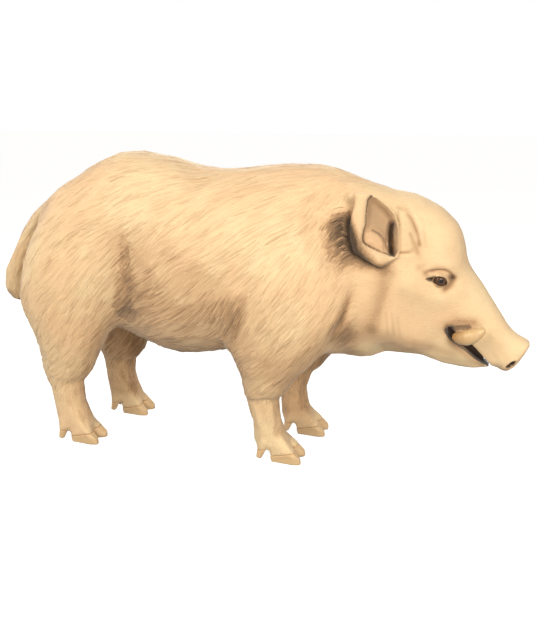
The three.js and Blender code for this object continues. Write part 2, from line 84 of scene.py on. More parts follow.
def ripple(points, size, seed):
    """A soft random field from -1 to 1, whose waves are about size metres long."""
    maker = np.random.default_rng(seed)
    total = np.zeros(len(points))
    for turn in unit(maker.normal(size=(9, 3))):
        waves = points @ turn * (2.0 * math.pi / size) * maker.uniform(0.7, 1.4)
        total += np.sin(waves + maker.uniform(0, 6.3))
    return total / 4.0


def polygon_distance(u, v, corners):
    """How far each point is inside a closed outline, negative outside it."""
    corners = np.asarray(corners, float)
    following = np.roll(corners, -1, axis=0)
    nearest = np.full(u.shape, 1e9)
    inside = np.zeros(u.shape, bool)
    for (u0, v0), (u1, v1) in zip(corners, following):
        du, dv = u1 - u0, v1 - v0
        t = np.clip(((u - u0) * du + (v - v0) * dv) / (du * du + dv * dv), 0.0, 1.0)
        nearest = np.minimum(nearest, np.hypot(u - u0 - t * du, v - v0 - t * dv))
        crosses = (v0 > v) != (v1 > v)
        inside ^= crosses & (u < u0 + (v - v0) * du / (dv if dv else 1e-9))
    return np.where(inside, nearest, -nearest)


def line_distance(u, v, points):
    """The distance to a broken line, and how far along it the nearest place is, from 0 to 1."""
    points = np.asarray(points, float)
    steps = np.hypot(*(points[1:] - points[:-1]).T)
    starts = np.concatenate(([0.0], np.cumsum(steps))) / steps.sum()
    nearest, place = np.full(u.shape, 1e9), np.zeros(u.shape)
    for (u0, v0), (u1, v1), s0, s1 in zip(points[:-1], points[1:], starts[:-1], starts[1:]):
        du, dv = u1 - u0, v1 - v0
        t = np.clip(((u - u0) * du + (v - v0) * dv) / (du * du + dv * dv), 0.0, 1.0)
        far = np.hypot(u - u0 - t * du, v - v0 - t * dv)
        closer = far < nearest
        nearest = np.where(closer, far, nearest)
        place = np.where(closer, s0 + t * (s1 - s0), place)
    return nearest, place


def round_line(points, rounds=2):
    """A broken line with its corners cut, so that a fold along it bends softly."""
    points = np.asarray(points, float)
    for _ in range(rounds):
        first = 0.75 * points[:-1] + 0.25 * points[1:]
        second = 0.25 * points[:-1] + 0.75 * points[1:]
        middle = np.stack([first, second], 1).reshape(-1, points.shape[1])
        points = np.concatenate([points[:1], middle, points[-1:]])
    return points


# ---------------------------------------------------------------- the places features are measured from
def centre(node):
    low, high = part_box(node)
    return np.array((low + high) / 2)


EYE_CENTRE = {side: centre(f"eye_{side}") for side in SIDES}
MIDDLE = float(np.mean([EYE_CENTRE[side][1] for side in SIDES]))
PITCH = math.radians(35.4)
ALONG = np.array([math.cos(PITCH), 0.0, -math.sin(PITCH)])
ABOVE = np.array([math.sin(PITCH), 0.0, math.cos(PITCH)])
EYE_ALONG, EYE_ABOVE = 180.0, 58.0
HEAD_START = EYE_CENTRE["right"] - (EYE_ALONG * ALONG + EYE_ABOVE * ABOVE) * MM
HEAD_START[1] = MIDDLE
EYE_OUT = abs(EYE_CENTRE["right"][1] - MIDDLE) / MM
EYE_RADIUS = (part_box("eye_right")[1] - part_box("eye_right")[0])[0] / 2 / MM


class Plane:
    """A flat drawing board in space: u and v in millimetres across it, and how far off it a point is."""

    def __init__(self, origin, across, upward, facing):
        self.origin = np.asarray(origin, float)
        self.axes = np.stack([np.asarray(a, float) for a in (across, upward, facing)])

    def read(self, points):
        return ((points - self.origin) @ self.axes.T / MM).T

    def place(self, u, v, off):
        flat = np.stack(np.broadcast_arrays(u, v, off), -1) * MM
        return self.origin + flat @ self.axes


FACE = {side: Plane(HEAD_START, ALONG, ABOVE, (0, sign, 0)) for side, sign in SIDES.items()}
FLANK = {side: Plane((0, MIDDLE, 0), (1, 0, 0), (0, 0, 1), (0, sign, 0)) for side, sign in SIDES.items()}
EAR_TURN = math.radians(18)  # the bowl opens outwards, and this much forwards
# the middle of the ear: ahead of the eye, out from the middle plane, above the eye
EAR_FROM_EYE = (-181.0, 147.5, 139.0)
EAR_LEAN = math.radians(10.3)  # the tips lean towards each other


def ear_board(sign):
    across = np.array([math.cos(EAR_TURN), -sign * math.sin(EAR_TURN), 0.0])
    facing = unit(np.cross(across, np.array([0.0, -sign * math.tan(EAR_LEAN), 1.0])) * -sign)
    upward = np.cross(facing, across) * -sign
    ahead, out, up = EAR_FROM_EYE
    eye = EYE_CENTRE["right" if sign < 0 else "left"]
    return Plane((eye[0] + ahead * MM, MIDDLE + sign * out * MM, eye[2] + up * MM), across, upward, facing)


EAR = {side: ear_board(sign) for side, sign in SIDES.items()}

# ---------------------------------------------------------------- the ear, drawn on its own board
EAR_OUTLINE = [
    (-60, 104), (-44, 108), (-25, 107), (-6, 101), (14, 89), (36, 74), (53, 61), (67, 41), (74, 16),
    (76, -25), (75, -58), (70, -75), (50, -85), (38, -93), (24, -103), (10, -99), (-10, -88), (-35, -72),
    (-54, -58), (-62, -41), (-67, -13), (-67, 19), (-62, 49), (-55, 66), (-53, 84), (-58, 96),
]
EAR_BOWL = [
    (-4, 96), (-14, 84), (-18, 49), (-19, 16), (-25, 0), (-28, -19), (-24, -33), (-3, -45), (24, -58),
    (47, -67), (60, -70), (65, -55), (66, -25), (65, 2), (61, 24), (55, 40), (41, 58), (19, 78), (4, 92),
]
EAR_PAD = [
    (-19, -3), (-6, 4), (9, -2), (21, -11), (31, -22), (36, -38), (34, -52), (8, -42), (-15, -31), (-21, -19),
]
EAR_SLOT = [(55, 22), (64, 22), (66, -25), (65, -66), (58, -70), (52, -62), (52, -33), (51, -4)]
EAR_RIDGE = [(4, 6), (20, -3), (34, -15), (42, -30), (47, -48), (51, -66)]


def ear_front(u, v):
    """How far the ear's front face stands off its board."""
    edge = np.maximum(polygon_distance(u, v, EAR_OUTLINE), 0.0)
    bowl = polygon_distance(u, v, EAR_BOWL)
    breadth = edge + np.maximum(-bowl, 0.0) + 1e-6
    roll = np.sqrt(np.clip(1.0 - (2.0 * edge / breadth - 1.0) ** 2, 0.0, 1.0))
    rim = (2.0 + 0.30 * breadth) * roll
    floor = -4.0 - 13.0 * smoothstep(bowl, 0, 17) - 9.0 * smoothstep(u, -10, 55) * smoothstep(bowl, 0, 12)
    floor -= 30.0 * smoothstep(polygon_distance(u, v, EAR_SLOT), -9, 4)
    floor += 13.0 * smoothstep(polygon_distance(u, v, EAR_PAD), -3, 6)
    ridge, _ = line_distance(u, v, round_line(EAR_RIDGE))
    floor += 9.0 * np.exp(-((ridge / 4.0) ** 2))
    return np.where(bowl > 0, floor, rim)


def ear_back(u, v):
    """How far the ear's rounded back stands behind its board: least at the rim, most at the root."""
    edge = np.maximum(polygon_distance(u, v, EAR_OUTLINE), 0.0)
    dome = 27.0 * np.sqrt(1.0 - (1.0 - np.clip(edge / 34.0, 0, 1)) ** 2)
    root = 44.0 * smoothstep(edge, 0, 16) * smoothstep(u - 0.25 * v, -8, 62)
    return -(dome + root)


def ear_shell(side):
    """A closed ear: rings from the middle of the leaf to its edge, in front and behind."""
    rings, around = 34, 120
    loop = round_line(EAR_OUTLINE + EAR_OUTLINE[:1], 2)[:-1]
    turns = np.linspace(0, len(loop), around, endpoint=False)
    corners = np.arange(len(loop) + 1)
    edge = np.stack([np.interp(turns, corners, np.append(loop[:, k], loop[0, k])) for k in (0, 1)], 1)
    heart = np.array([6.0, -2.0])
    shares = np.linspace(0, 1, rings + 1)[1:]
    flat = heart + (edge[None] - heart) * shares[:, None, None]
    u, v = flat[..., 0].ravel(), flat[..., 1].ravel()
    front = EAR[side].place(u, v, ear_front(u, v))
    back = EAR[side].place(u[:-around], v[:-around], ear_back(u, v)[:-around])
    stands = np.array([face(*heart[:, None])[0] for face in (ear_front, ear_back)])
    middles = EAR[side].place(heart[0], heart[1], stands)
    points = np.concatenate([front, back, middles])
    start = len(front)

    def at(ring, k, behind):
        index = ring * around + k % around
        return index + (start if behind and ring < rings - 1 else 0)

    faces = []
    for behind in (False, True):
        heart_at = len(points) - (1 if behind else 2)
        for k in range(around):
            faces.append((heart_at, at(0, k, behind), at(0, k + 1, behind)))
            for ring in range(rings - 1):
                a, b = at(ring, k, behind), at(ring + 1, k, behind)
                c, d = at(ring + 1, k + 1, behind), at(ring, k + 1, behind)
                faces += [(a, b, c), (a, c, d)]
    return points, np.array(faces)


# ---------------------------------------------------------------- clay: flesh as a field of distances
def mesh_arrays(mesh):
    points = np.empty(len(mesh.vertices) * 3, np.float32)
    mesh.vertices.foreach_get("co", points)
    mesh.calc_loop_triangles()
    triangles = np.empty(len(mesh.loop_triangles) * 3, np.int32)
    mesh.loop_triangles.foreach_get("vertices", triangles)
    return points.reshape(-1, 3).astype(float), triangles.reshape(-1, 3).astype(np.int64)


def joined(parts):
    """Several meshes as one list of points and one of triangles."""
    points, faces, start = [], [], 0
    for some, theirs in parts:
        points.append(some)
        faces.append(theirs + start)
        start += len(some)
    return np.concatenate(points), np.concatenate(faces)


class Clay:
    """A block of distances, in millimetres, that shapes are cut from."""

    def __init__(self, points, triangles, grain):
        self.grain = grain
        self.scale = openvdb.createLinearTransform(voxelSize=grain)
        self.field = openvdb.FloatGrid.createLevelSetFromPolygons(
            (points / MM).astype(np.float32), triangles=triangles.astype(np.uint32),
            transform=self.scale, halfWidth=4.0,
        )
        low = np.floor(points.min(0) / MM / grain).astype(int) - 6
        high = np.ceil(points.max(0) / MM / grain).astype(int) + 6
        self.low = low
        self.values = np.empty(high - low, np.float32)
        self.field.copyToArray(self.values, ijk=tuple(int(i) for i in low))

    def window(self, low, high):
        """The part of the block between two corners, and where its samples are, in metres."""
        first = np.clip(np.floor(low / MM / self.grain).astype(int) - self.low, 0, None)
        last = np.ceil(high / MM / self.grain).astype(int) - self.low + 1
        part = tuple(slice(a, b) for a, b in zip(first, last))
        shape = self.values[part].shape
        at = np.stack(np.meshgrid(*[np.arange(n) + f for n, f in zip(shape, first)], indexing="ij"), -1)
        return part, (at + self.low) * self.grain * MM

    def chain(self, line, radii):
        """The distance to a rope of balls along a line of places in space, in its own window."""
        line = np.asarray(line, float)
        radii = np.broadcast_to(np.asarray(radii, float), len(line))
        room = (radii.max() + 6 * self.grain) * MM
        part, at = self.window(line.min(0) - room, line.max(0) + room)
        nearest = np.full(at.shape[:3], 1e3)
        for a, b, ra, rb in zip(line[:-1], line[1:], radii[:-1], radii[1:]):
            step = b - a
            t = np.clip((at - a) @ step / (step @ step), 0, 1)
            far = np.linalg.norm(at - a - t[..., None] * step, axis=-1) / MM - (ra + t * (rb - ra))
            nearest = np.minimum(nearest, far)
        return part, nearest

    def cut(self, part, distance, soft=2.0):
        here = self.values[part]
        gap = np.clip(0.5 - 0.5 * (here + distance) / soft, 0, 1)
        self.values[part] = here * (1 - gap) - distance * gap + soft * gap * (1 - gap)

    def surface(self, grown=0.0):
        """The clay's surface, as points in metres and faces of four corners."""
        field = openvdb.FloatGrid(4.0 * self.grain)
        field.transform = self.scale
        field.copyFromArray(self.values, ijk=tuple(int(i) for i in self.low))
        points, quads = field.convertToQuads(isovalue=grown)
        return points.astype(float) * MM, quads.astype(np.int64)


def halves(quads):
    return np.concatenate([quads[:, [0, 1, 2]], quads[:, [0, 2, 3]]])


def vertex_normals(points, triangles):
    a, b, c = (points[triangles[:, k]] for k in range(3))
    face = np.cross(b - a, c - a)
    total = np.zeros_like(points)
    for k in range(3):
        for axis in range(3):
            total[:, axis] += np.bincount(triangles[:, k], face[:, axis], len(points))
    return unit(total)


class Smoother:
    """Moves each point towards its neighbours and back again, which takes out ripples and keeps the size."""

    def __init__(self, count, faces):
        pairs = np.concatenate([faces[:, [k, (k + 1) % faces.shape[1]]] for k in range(faces.shape[1])])
        pairs.sort(axis=1)
        keys = np.unique(pairs[:, 0] * count + pairs[:, 1])
        self.a, self.b = keys // count, keys % count
        ends = [np.bincount(end, minlength=count) for end in (self.a, self.b)]
        self.degree = np.maximum(ends[0] + ends[1], 1)

    def pull(self, values):
        total = np.bincount(self.a, values[self.b], len(values))
        total += np.bincount(self.b, values[self.a], len(values))
        return total / self.degree - values

    def smooth(self, points, rounds, strength=1.0, keep=0.53):
        for _ in range(rounds):
            for share in (0.5, -keep):
                for axis in range(3):
                    points[:, axis] += share * strength * self.pull(points[:, axis])
        return points

    def spread(self, values, rounds):
        for _ in range(rounds):
            values = values + 0.5 * self.pull(values)
        return values


def from_arrays(name, points, faces, material=None, smooth=True):
    """A mesh object from arrays of points and of faces that all have the same number of corners."""
    mesh = bpy.data.meshes.new(name)
    corners = faces.shape[1]
    mesh.vertices.add(len(points))
    mesh.vertices.foreach_set("co", points.astype(np.float32).ravel())
    mesh.loops.add(faces.size)
    mesh.loops.foreach_set("vertex_index", faces.astype(np.int32).ravel())
    mesh.polygons.add(len(faces))
    mesh.polygons.foreach_set("loop_start", np.arange(0, faces.size, corners, dtype=np.int32))
    mesh.update(calc_edges=True)
    if smooth:
        mesh.polygons.foreach_set("use_smooth", np.ones(len(faces), bool))
    piece = bpy.data.objects.new(name, mesh)
    bpy.context.scene.collection.objects.link(piece)
    if material:
        mesh.materials.append(material)
    return piece


def applied(piece, kind, **settings):
    """Adds a modifier, and makes its result the piece's own mesh."""
    modifier = piece.modifiers.new(kind.lower(), kind)
    for key, value in settings.items():
        setattr(modifier, key, value)
    evaluated = piece.evaluated_get(bpy.context.evaluated_depsgraph_get())
    mesh = bpy.data.meshes.new_from_object(evaluated)
    piece.modifiers.clear()
    old, piece.data = piece.data, mesh
    bpy.data.meshes.remove(old)
    return piece


# ---------------------------------------------------------------- where the head's features are
MOUTH = [
    (290, 84, -38), (298, 81, -45), (310, 76, -51), (325, 70, -53), (342, 63, -53), (365, 56, -54),
    (390, 49, -57), (412, 43, -60), (430, 38, -62), (448, 30, -63), (460, 16, -65), (464, 0, -66),
]
MOUTH_GAP = [4.5, 8.0, 11.0, 13.0, 13.5, 13.0, 12.0, 10.5, 8.0, 5.5, 3.5, 2.8]
TUSK_SOCKET = [(293, 82, -38), (303, 79, -28), (316, 76, -16), (331, 73, -3)]
# a nostril is a hole in the disc and a slit that runs out of it through the rim: where it opens (along, out,
# above), the way it faces, its half breadth and half height, and how deep it is
NOSTRILS = [
    ((505, 24, -12), (1.0, 0.12, 0.0), 8.5, 12.0, 26.0),
    ((495, 42, -20), (0.66, 0.75, 0.0), 5.2, 15.0, 22.0),
]


def head_line(side, rows):
    rows = np.asarray(rows, float)
    return FACE[side].place(rows[:, 0], rows[:, 2], rows[:, 1])


def open_mouth(clay, side):
    """The gap between the lips, sunk deep enough to be dark, and the socket of the tusk."""
    mouth, gap = np.array(MOUTH, float), np.array(MOUTH_GAP)
    for deeper in (-4, 4, 12, 20, 28):
        inner = mouth - np.array([0, 1, 0]) * np.minimum(deeper, mouth[:, 1:2])
        clay.cut(*clay.chain(head_line(side, inner), gap), soft=3.0)
    socket = np.array(TUSK_SOCKET, float)
    clay.cut(*clay.chain(head_line(side, socket), [8.0, 9.0, 8.0, 3.0]), soft=5.0)


def open_ear(clay, side):
    """Clears the flesh of the head out of the ear's bowl."""
    board = EAR[side]
    corners = board.place(np.array([-70, 80]), np.array([-105, 110]), np.array([-70, 50]))
    part, at = clay.window(corners.min(0) - 0.03, corners.max(0) + 0.03)
    u, v, off = (a.reshape(at.shape[:3]) for a in board.read(at.reshape(-1, 3)))
    inside = polygon_distance(u, v, EAR_BOWL)
    cavity = np.maximum(np.maximum(-inside, ear_front(u, v) - off), off - 40.0)
    clay.cut(part, cavity, soft=2.0)


def rough_skin():
    """The flesh as one closed surface, with its facets gone, the ears put on and the large openings cut."""
    solids = joined([mesh_arrays(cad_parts[node].data) for node in FLESH])
    clay = Clay(*solids, GRID)
    points, quads = clay.surface(CLOSING)
    smoother = Smoother(len(points), quads)
    height = points[:, 2] / MM
    strength = 0.35 + 0.65 * smoothstep(height, 60, 150)
    points = smoother.smooth(points, FACET_ROUNDS, strength)
    # broad forms are smoothed further, and grown by what that takes off them
    along, _, above = FACE["right"].read(points)
    broad = smoothstep(height, 225, 300) * smoothstep(along, 330, 250)
    thin_tail = smoothstep(points[:, 0] / MM, -700, -770)
    broad *= 1 - smoothstep(np.hypot(along - EYE_ALONG, above - EYE_ABOVE), 60, 30)
    points = smoother.smooth(points, BROAD_ROUNDS, broad, keep=0.0)
    growth = broad * (BROAD_LOSS + TAIL_LOSS * thin_tail) * MM
    points += vertex_normals(points, halves(quads)) * growth[:, None]
    clay = Clay(*joined([(points, halves(quads))] + [ear_shell(side) for side in SIDES]), GRID)
    for side in SIDES:
        open_ear(clay, side)
        open_mouth(clay, side)
    return clay.surface()


# ---------------------------------------------------------------- work on the skin, along its normals
class Skin:
    def __init__(self, points, triangles):
        self.points, self.triangles = points, triangles
        self.refresh()

    def refresh(self):
        self.normals = vertex_normals(self.points, self.triangles)

    def move(self, amount, chosen=slice(None)):
        """Moves the chosen points along their normals, by millimetres."""
        self.points[chosen] += self.normals[chosen] * (amount * MM)[:, None]

    def near(self, plane, u0, u1, v0, v1, off0=-1e9, off1=1e9, facing=0.15):
        """The points over a rectangle of a board, that face it, with their places on it."""
        u, v, off = plane.read(self.points)
        inside = (u > u0) & (u < u1) & (v > v0) & (v < v1) & (off > off0) & (off < off1)
        inside &= self.normals @ plane.axes[2] > facing
        chosen = np.flatnonzero(inside)
        return chosen, u[chosen], v[chosen], off[chosen]

    def fold(self, plane, line, width, depth, off0=-1e9, off1=1e9, facing=0.15, tapered=True, ridge=0.0):
        """A crease along a line on a board: sunk along it, and raised by a share of that on both sides."""
        line = round_line(line)
        room = 4 * width
        chosen, u, v, _ = self.near(
            plane, line[:, 0].min() - room, line[:, 0].max() + room,
            line[:, 1].min() - room, line[:, 1].max() + room, off0, off1, facing,
        )
        if not len(chosen):
            return
        far, place = line_distance(u, v, line)
        power = np.sin(np.clip(place, 0.02, 0.98) * math.pi) ** 0.6 if tapered else 1.0
        cut = np.exp(-((far / width) ** 2))
        lip = np.exp(-(((far - 2.1 * width) / width) ** 2))
        self.move((-depth * cut + ridge * depth * lip) * power, chosen)

    def press(self, plane, at, radius, depth, stretch=(1.0, 1.0), turn=0.0, off0=-1e9, off1=1e9, facing=0.1):
        """A soft hollow, or with a negative depth a swelling, round a place on a board."""
        reach = radius * max(stretch) * 2.4
        chosen, u, v, _ = self.near(
            plane, at[0] - reach, at[0] + reach, at[1] - reach, at[1] + reach, off0, off1, facing
        )
        du, dv = u - at[0], v - at[1]
        c, s = math.cos(math.radians(turn)), math.sin(math.radians(turn))
        a, b = (du * c + dv * s) / stretch[0], (dv * c - du * s) / stretch[1]
        self.move(-depth * np.exp(-(a * a + b * b) / radius ** 2), chosen)


def hem_height(x):
    """The height of the coat's hem over the knee or the hock, in millimetres, for a leg at x."""
    return np.where(x > -150, 207.0 + 0.12 * (x - 90), 214.0 - 0.10 * (x + 540))


EYE_SLIT = [
    (149, 44), (158, 53), (168, 64), (178, 72), (188, 74), (198, 69), (204, 61), (201, 54), (191, 49),
    (179, 47.5), (166, 46.5), (156, 43.5),
]


def open_eye(skin, side):
    """Lids that lie over the ball, and the slit between them."""
    plane = FACE[side]
    chosen, u, v, off = skin.near(
        plane, EYE_ALONG - 60, EYE_ALONG + 60, EYE_ABOVE - 50, EYE_ABOVE + 55, 60, 150, -0.4
    )
    around = np.hypot(u - EYE_ALONG, v - EYE_ABOVE)
    reach = np.clip(EYE_RADIUS ** 2 - around ** 2, 0, None) ** 0.5
    ball = EYE_OUT + reach - np.maximum(around - EYE_RADIUS, 0) * 0.9
    slit = polygon_distance(u, v, round_line(EYE_SLIT + EYE_SLIT[:1], 2)[:-1])
    dish = 6.5 * np.exp(-((around / 30.0) ** 2))
    level = off - dish
    lid = ball + 2.4 - 0.10 * np.clip(-slit, 0, 30)
    over = np.maximum(level, lid)
    soft = np.abs(level - lid)
    over += np.clip(3.0 - soft, 0, 3.0) ** 2 / 12.0
    inside = smoothstep(slit, -0.6, 1.6)
    deep = np.minimum(ball - 3.5, level - 4.0)
    target = over * (1 - inside) + deep * inside
    fade = smoothstep(around, 58, 44)
    skin.points[chosen] += plane.axes[2] * ((target - off) * fade * MM)[:, None]
    skin.refresh()


def hem(skin):
    """The coat's lower edge stands over the smooth shank, and most at the front of the leg."""
    x, z = skin.points[:, 0] / MM, skin.points[:, 2] / MM
    line = hem_height(x)
    band = z - line
    step = smoothstep(band, -5, 6) * smoothstep(band, 60, 20)
    step -= 0.55 * smoothstep(band, -34, -8) * smoothstep(band, 4, -6)
    leg = smoothstep(z, 300, 262)
    ahead = 0.65 + 0.35 * np.clip(skin.normals[:, 0], -1, 1)
    skin.move(step * leg * ahead * 4.0)
    skin.refresh()


def in_nostril(points, side, place, way, breadth, height):
    """How far a point is from the middle of a nostril, as a share of its size, and how deep it lies."""
    u, v, off = FACE[side].read(points)
    away = np.stack([u, off, v], 1) - np.array(place, float)
    way = unit(np.array(way))
    beside = away @ np.array([-way[1], way[0], 0.0])
    return np.hypot(beside / breadth, away[:, 2] / height), -(away @ way)


def open_nostril(skin, side):
    for place, way, breadth, height, deep in NOSTRILS:
        oval, depth = in_nostril(skin.points, side, place, way, breadth, height)
        on_board = np.array([way[0], way[2], way[1]])
        here = (np.abs(depth) < 14) * (skin.normals @ (FACE[side].axes.T @ on_board) > 0.2)
        sink = (deep * smoothstep(oval, 1.15, 0.55) - 1.2 * np.exp(-(((oval - 1.5) / 0.3) ** 2))) * here
        inward = -(FACE[side].axes.T @ unit(on_board))
        skin.points += inward * (sink * MM)[:, None]
    skin.refresh()


def sculpt(skin):
    hem(skin)
    for side in SIDES:
        face, flank, ear = FACE[side], FLANK[side], EAR[side]
        # brow, socket and cheek round the eye
        skin.press(face, (210, 74), 13, 9.0, (1.0, 1.3), -25, off0=50)
        skin.press(face, (216, 50), 9, 3.5, off0=50)
        skin.press(face, (122, 62), 13, 3.0, off0=50)
        skin.press(face, (174, 106), 16, -4.0, (1.7, 0.7), 20, off0=50)
        skin.refresh()
        open_eye(skin, side)
        open_nostril(skin, side)
        upper_lid = [(136, 55), (150, 69), (164, 81), (178, 89), (193, 90), (206, 86), (214, 77)]
        skin.fold(face, upper_lid, 4.4, 7.0, 50, ridge=0.3)
        skin.fold(face, [(150, 38), (166, 40), (184, 40), (203, 44)], 3.0, 2.6, 50, ridge=0.4)
        skin.fold(face, [(222, 80), (228, 70), (226, 60)], 2.6, 1.6, 50)
        skin.refresh()
        # wrinkles between the ear and the eye
        skin.fold(face, [(-4, 157), (14, 148), (36, 137), (58, 124), (76, 108)], 7.0, 3.8, 50, 128, ridge=0.7)
        skin.fold(face, [(38, 116), (58, 104), (84, 87)], 6.0, 2.8, 50, 131, ridge=0.7)
        skin.fold(face, [(62, 140), (80, 128), (94, 114)], 4.6, 2.4, 50, 131, ridge=0.5)
        skin.fold(face, [(-38, 146), (-22, 154), (-6, 150)], 3.6, 2.6, 50, 128)
        skin.fold(face, [(48, 58), (60, 66), (74, 76)], 4.2, 3.0, 50, 134, ridge=0.5)
        skin.refresh()
        # folds of the jowl and the throat
        jowl = [(66, 10), (78, -30), (96, -70), (118, -112), (140, -150)]
        skin.fold(face, jowl, 12, 6.0, 60, 170, ridge=0.3)
        skin.fold(face, [(110, -60), (130, -100), (152, -138)], 8, 3.2, 60, 170, ridge=0.3)
        throat = [(352, 560), (346, 520), (330, 470), (306, 420), (286, 380)]
        skin.fold(flank, throat, 10, 8.0, 60, 190, ridge=0.35)
        skin.fold(flank, [(372, 540), (360, 500), (344, 462)], 6, 2.6, 60, 190, ridge=0.3)
        skin.refresh()
        # flank and elbow creases
        skin.fold(flank, [(-320, 700), (-314, 640), (-309, 580), (-311, 520), (-322, 470)], 13, 11.0, 90, 260)
        skin.press(flank, (-324, 442), 22, 13.0, off0=60)
        skin.fold(flank, [(66, 520), (46, 470), (28, 425), (16, 370)], 10, 12.0, 90, 260)
        skin.refresh()
        # the ear's rolled rim, its groove and the ridge in its bowl
        groove = EAR_BOWL[1:11]
        skin.fold(ear, groove, 2.6, 5.5, -60, 40, 0.0)
        skin.fold(ear, EAR_RIDGE, 2.4, 5.0, -60, 40, 0.0, ridge=0.5)
        skin.fold(ear, [(56, 8), (60, -20), (62, -45), (65, -66)], 5.0, 8.0, -60, 40, 0.0)
        skin.refresh()


def coat_depth(points):
    """How far the skin lies under the coat's surface, in millimetres, place by place."""
    along = (points - HEAD_START) @ ALONG / MM
    height = points[:, 2] / MM
    trunk = smoothstep(along, 90, -60)
    upper = smoothstep(height, 205, 300)
    depth = 0.5 + 0.6 * smoothstep(along, 260, 90)
    return np.where(along > -300, depth + (2.8 - depth) * trunk * upper, 0.9 + 1.9 * upper)


def make_skin():
    points, quads = rough_skin()
    smoother = Smoother(len(points), quads)
    points = smoother.smooth(points, 3)
    normals = vertex_normals(points, halves(quads))
    shell = np.maximum(points[:, 2] / MM - 0.5, 0)
    depth = smoother.spread(coat_depth(points), 12) * smoothstep(shell, 0, 20)
    points -= normals * (depth * MM)[:, None]
    piece = from_arrays("skin", points, quads)
    # twice as fine where the face and the ears are worked
    work = bmesh.new()
    work.from_mesh(piece.data)
    chosen = [edge for edge in work.edges if all(over_head(end.co) for end in edge.verts)]
    bmesh.ops.subdivide_edges(work, edges=chosen, cuts=1, use_grid_fill=True)
    bmesh.ops.triangulate(work, faces=work.faces[:])
    work.to_mesh(piece.data)
    work.free()
    points, triangles = mesh_arrays(piece.data)
    skin = Skin(points, triangles)
    sculpt(skin)
    piece.data.vertices.foreach_set("co", skin.points.astype(np.float32).ravel())
    piece.data.update()
    along = (skin.points - HEAD_START) @ ALONG / MM
    group = piece.vertex_groups.new(name="plain")
    by_ear = np.maximum(ear_cover(skin.points), near_ear(skin.points))
    fine = np.maximum(smoothstep(along, -60, 60), smoothstep(by_ear, 0.1, 0.6))
    fine = np.maximum(fine, 0.9 * smoothstep(skin.points[:, 2] / MM, 240, 200))
    for level in np.unique(np.round(fine, 1)):
        group.add(np.flatnonzero(np.round(fine, 1) == level).tolist(), 1.0 - 0.93 * float(level), "REPLACE")
    ratio = SKIN_TRIANGLES / len(triangles)
    applied(piece, "DECIMATE", ratio=ratio, vertex_group="plain", use_collapse_triangulate=True)
    piece.vertex_groups.clear()
    piece.data.polygons.foreach_set("use_smooth", np.ones(len(piece.data.polygons), bool))
    return piece


def over_head(co):
    return co.x > 0.335 and co.z > 0.30


# ---------------------------------------------------------------- finishes
def colour(code):
    """An sRGB hex colour as the linear values that Blender mixes."""
    parts = [int(code[k:k + 2], 16) / 255 for k in (1, 3, 5)]
    return (*[c / 12.92 if c <= 0.04045 else ((c + 0.055) / 1.055) ** 2.4 for c in parts], 1.0)


def add(tree, kind, settings=None, inputs=None):
    """Adds a node: settings are its own properties, and each input is a value or another node's output."""
    node = tree.nodes.new(kind)
    for key, value in (settings or {}).items():
        setattr(node, key, value)
    for key, value in (inputs or {}).items():
        if isinstance(value, bpy.types.NodeSocket):
            tree.links.new(value, node.inputs[key])
        else:
            node.inputs[key].default_value = value
    return node


def finish(name):
    """An empty material and its tree."""
    material = bpy.data.materials.new(name)
    material.use_nodes = True
    tree = material.node_tree
    tree.nodes.clear()
    return material, tree


def output_of(tree, kind, settings=None, inputs=None, output=0):
    return add(tree, kind, settings, inputs).outputs[output]


def place_in(tree):
    """The place in metres, in the model's own frame."""
    return output_of(tree, "ShaderNodeTexCoord", output="Object")


def attribute(tree, name, output="Fac"):
    return output_of(tree, "ShaderNodeAttribute", {"attribute_name": name}, output=output)


def noise(tree, vector, scale, detail, **more):
    inputs = {"Vector": vector, "Scale": scale, "Detail": detail, **more}
    return output_of(tree, "ShaderNodeTexNoise", inputs=inputs, output="Fac")


def ramp(tree, value, start=0.0, end=1.0, low=0.0, high=1.0, kind="LINEAR"):
    """Turns a value that runs from start to end into one from low to high."""
    inputs = {0: value, 1: start, 2: end, 3: low, 4: high}
    return output_of(tree, "ShaderNodeMapRange", {"interpolation_type": kind}, inputs)


def blend(tree, share, first, second):
    """Two colours mixed, each a hex code or another node's output."""
    first, second = (colour(c) if isinstance(c, str) else c for c in (first, second))
    inputs = {0: share, 6: first, 7: second}
    return output_of(tree, "ShaderNodeMix", {"data_type": "RGBA"}, inputs, 2)


def bump(tree, height, strength, distance):
    inputs = {"Strength": strength, "Distance": distance, "Height": height}
    return output_of(tree, "ShaderNodeBump", inputs=inputs)


def close(tree, base, normal=None, **inputs):
    """Ends a finish with its shader. In the names of the shader's inputs, _ stands for a space."""
    inputs = {name.replace("_", " "): value for name, value in inputs.items()}
    inputs["Base Color"] = base
    if normal is not None:
        inputs["Normal"] = normal
    shader = output_of(tree, "ShaderNodeBsdfPrincipled", inputs=inputs)
    add(tree, "ShaderNodeOutputMaterial", inputs={"Surface": shader})


# the size of each pattern, as how many of its waves go into a metre
SANDY_PATCHES = 1000 / 200      # soft patches 200 mm across
PORES = 1000 / 2.381            # 2.4 mm apart, coarser than real pores so that they show
FLESH_MOTTLE = 1000 / 16.667    # 17 mm
HORN_MOTTLE = 1000 / 22.222     # 22 mm
HORN_RINGS = math.tau / 20 / (math.pi * MM)    # rings 3.1 mm apart, as the wave pattern counts them
TUSK_GROOVES = 1000 / 11.111    # 11 mm
IRIS_RAYS = 1000 / 1.111        # 1.1 mm
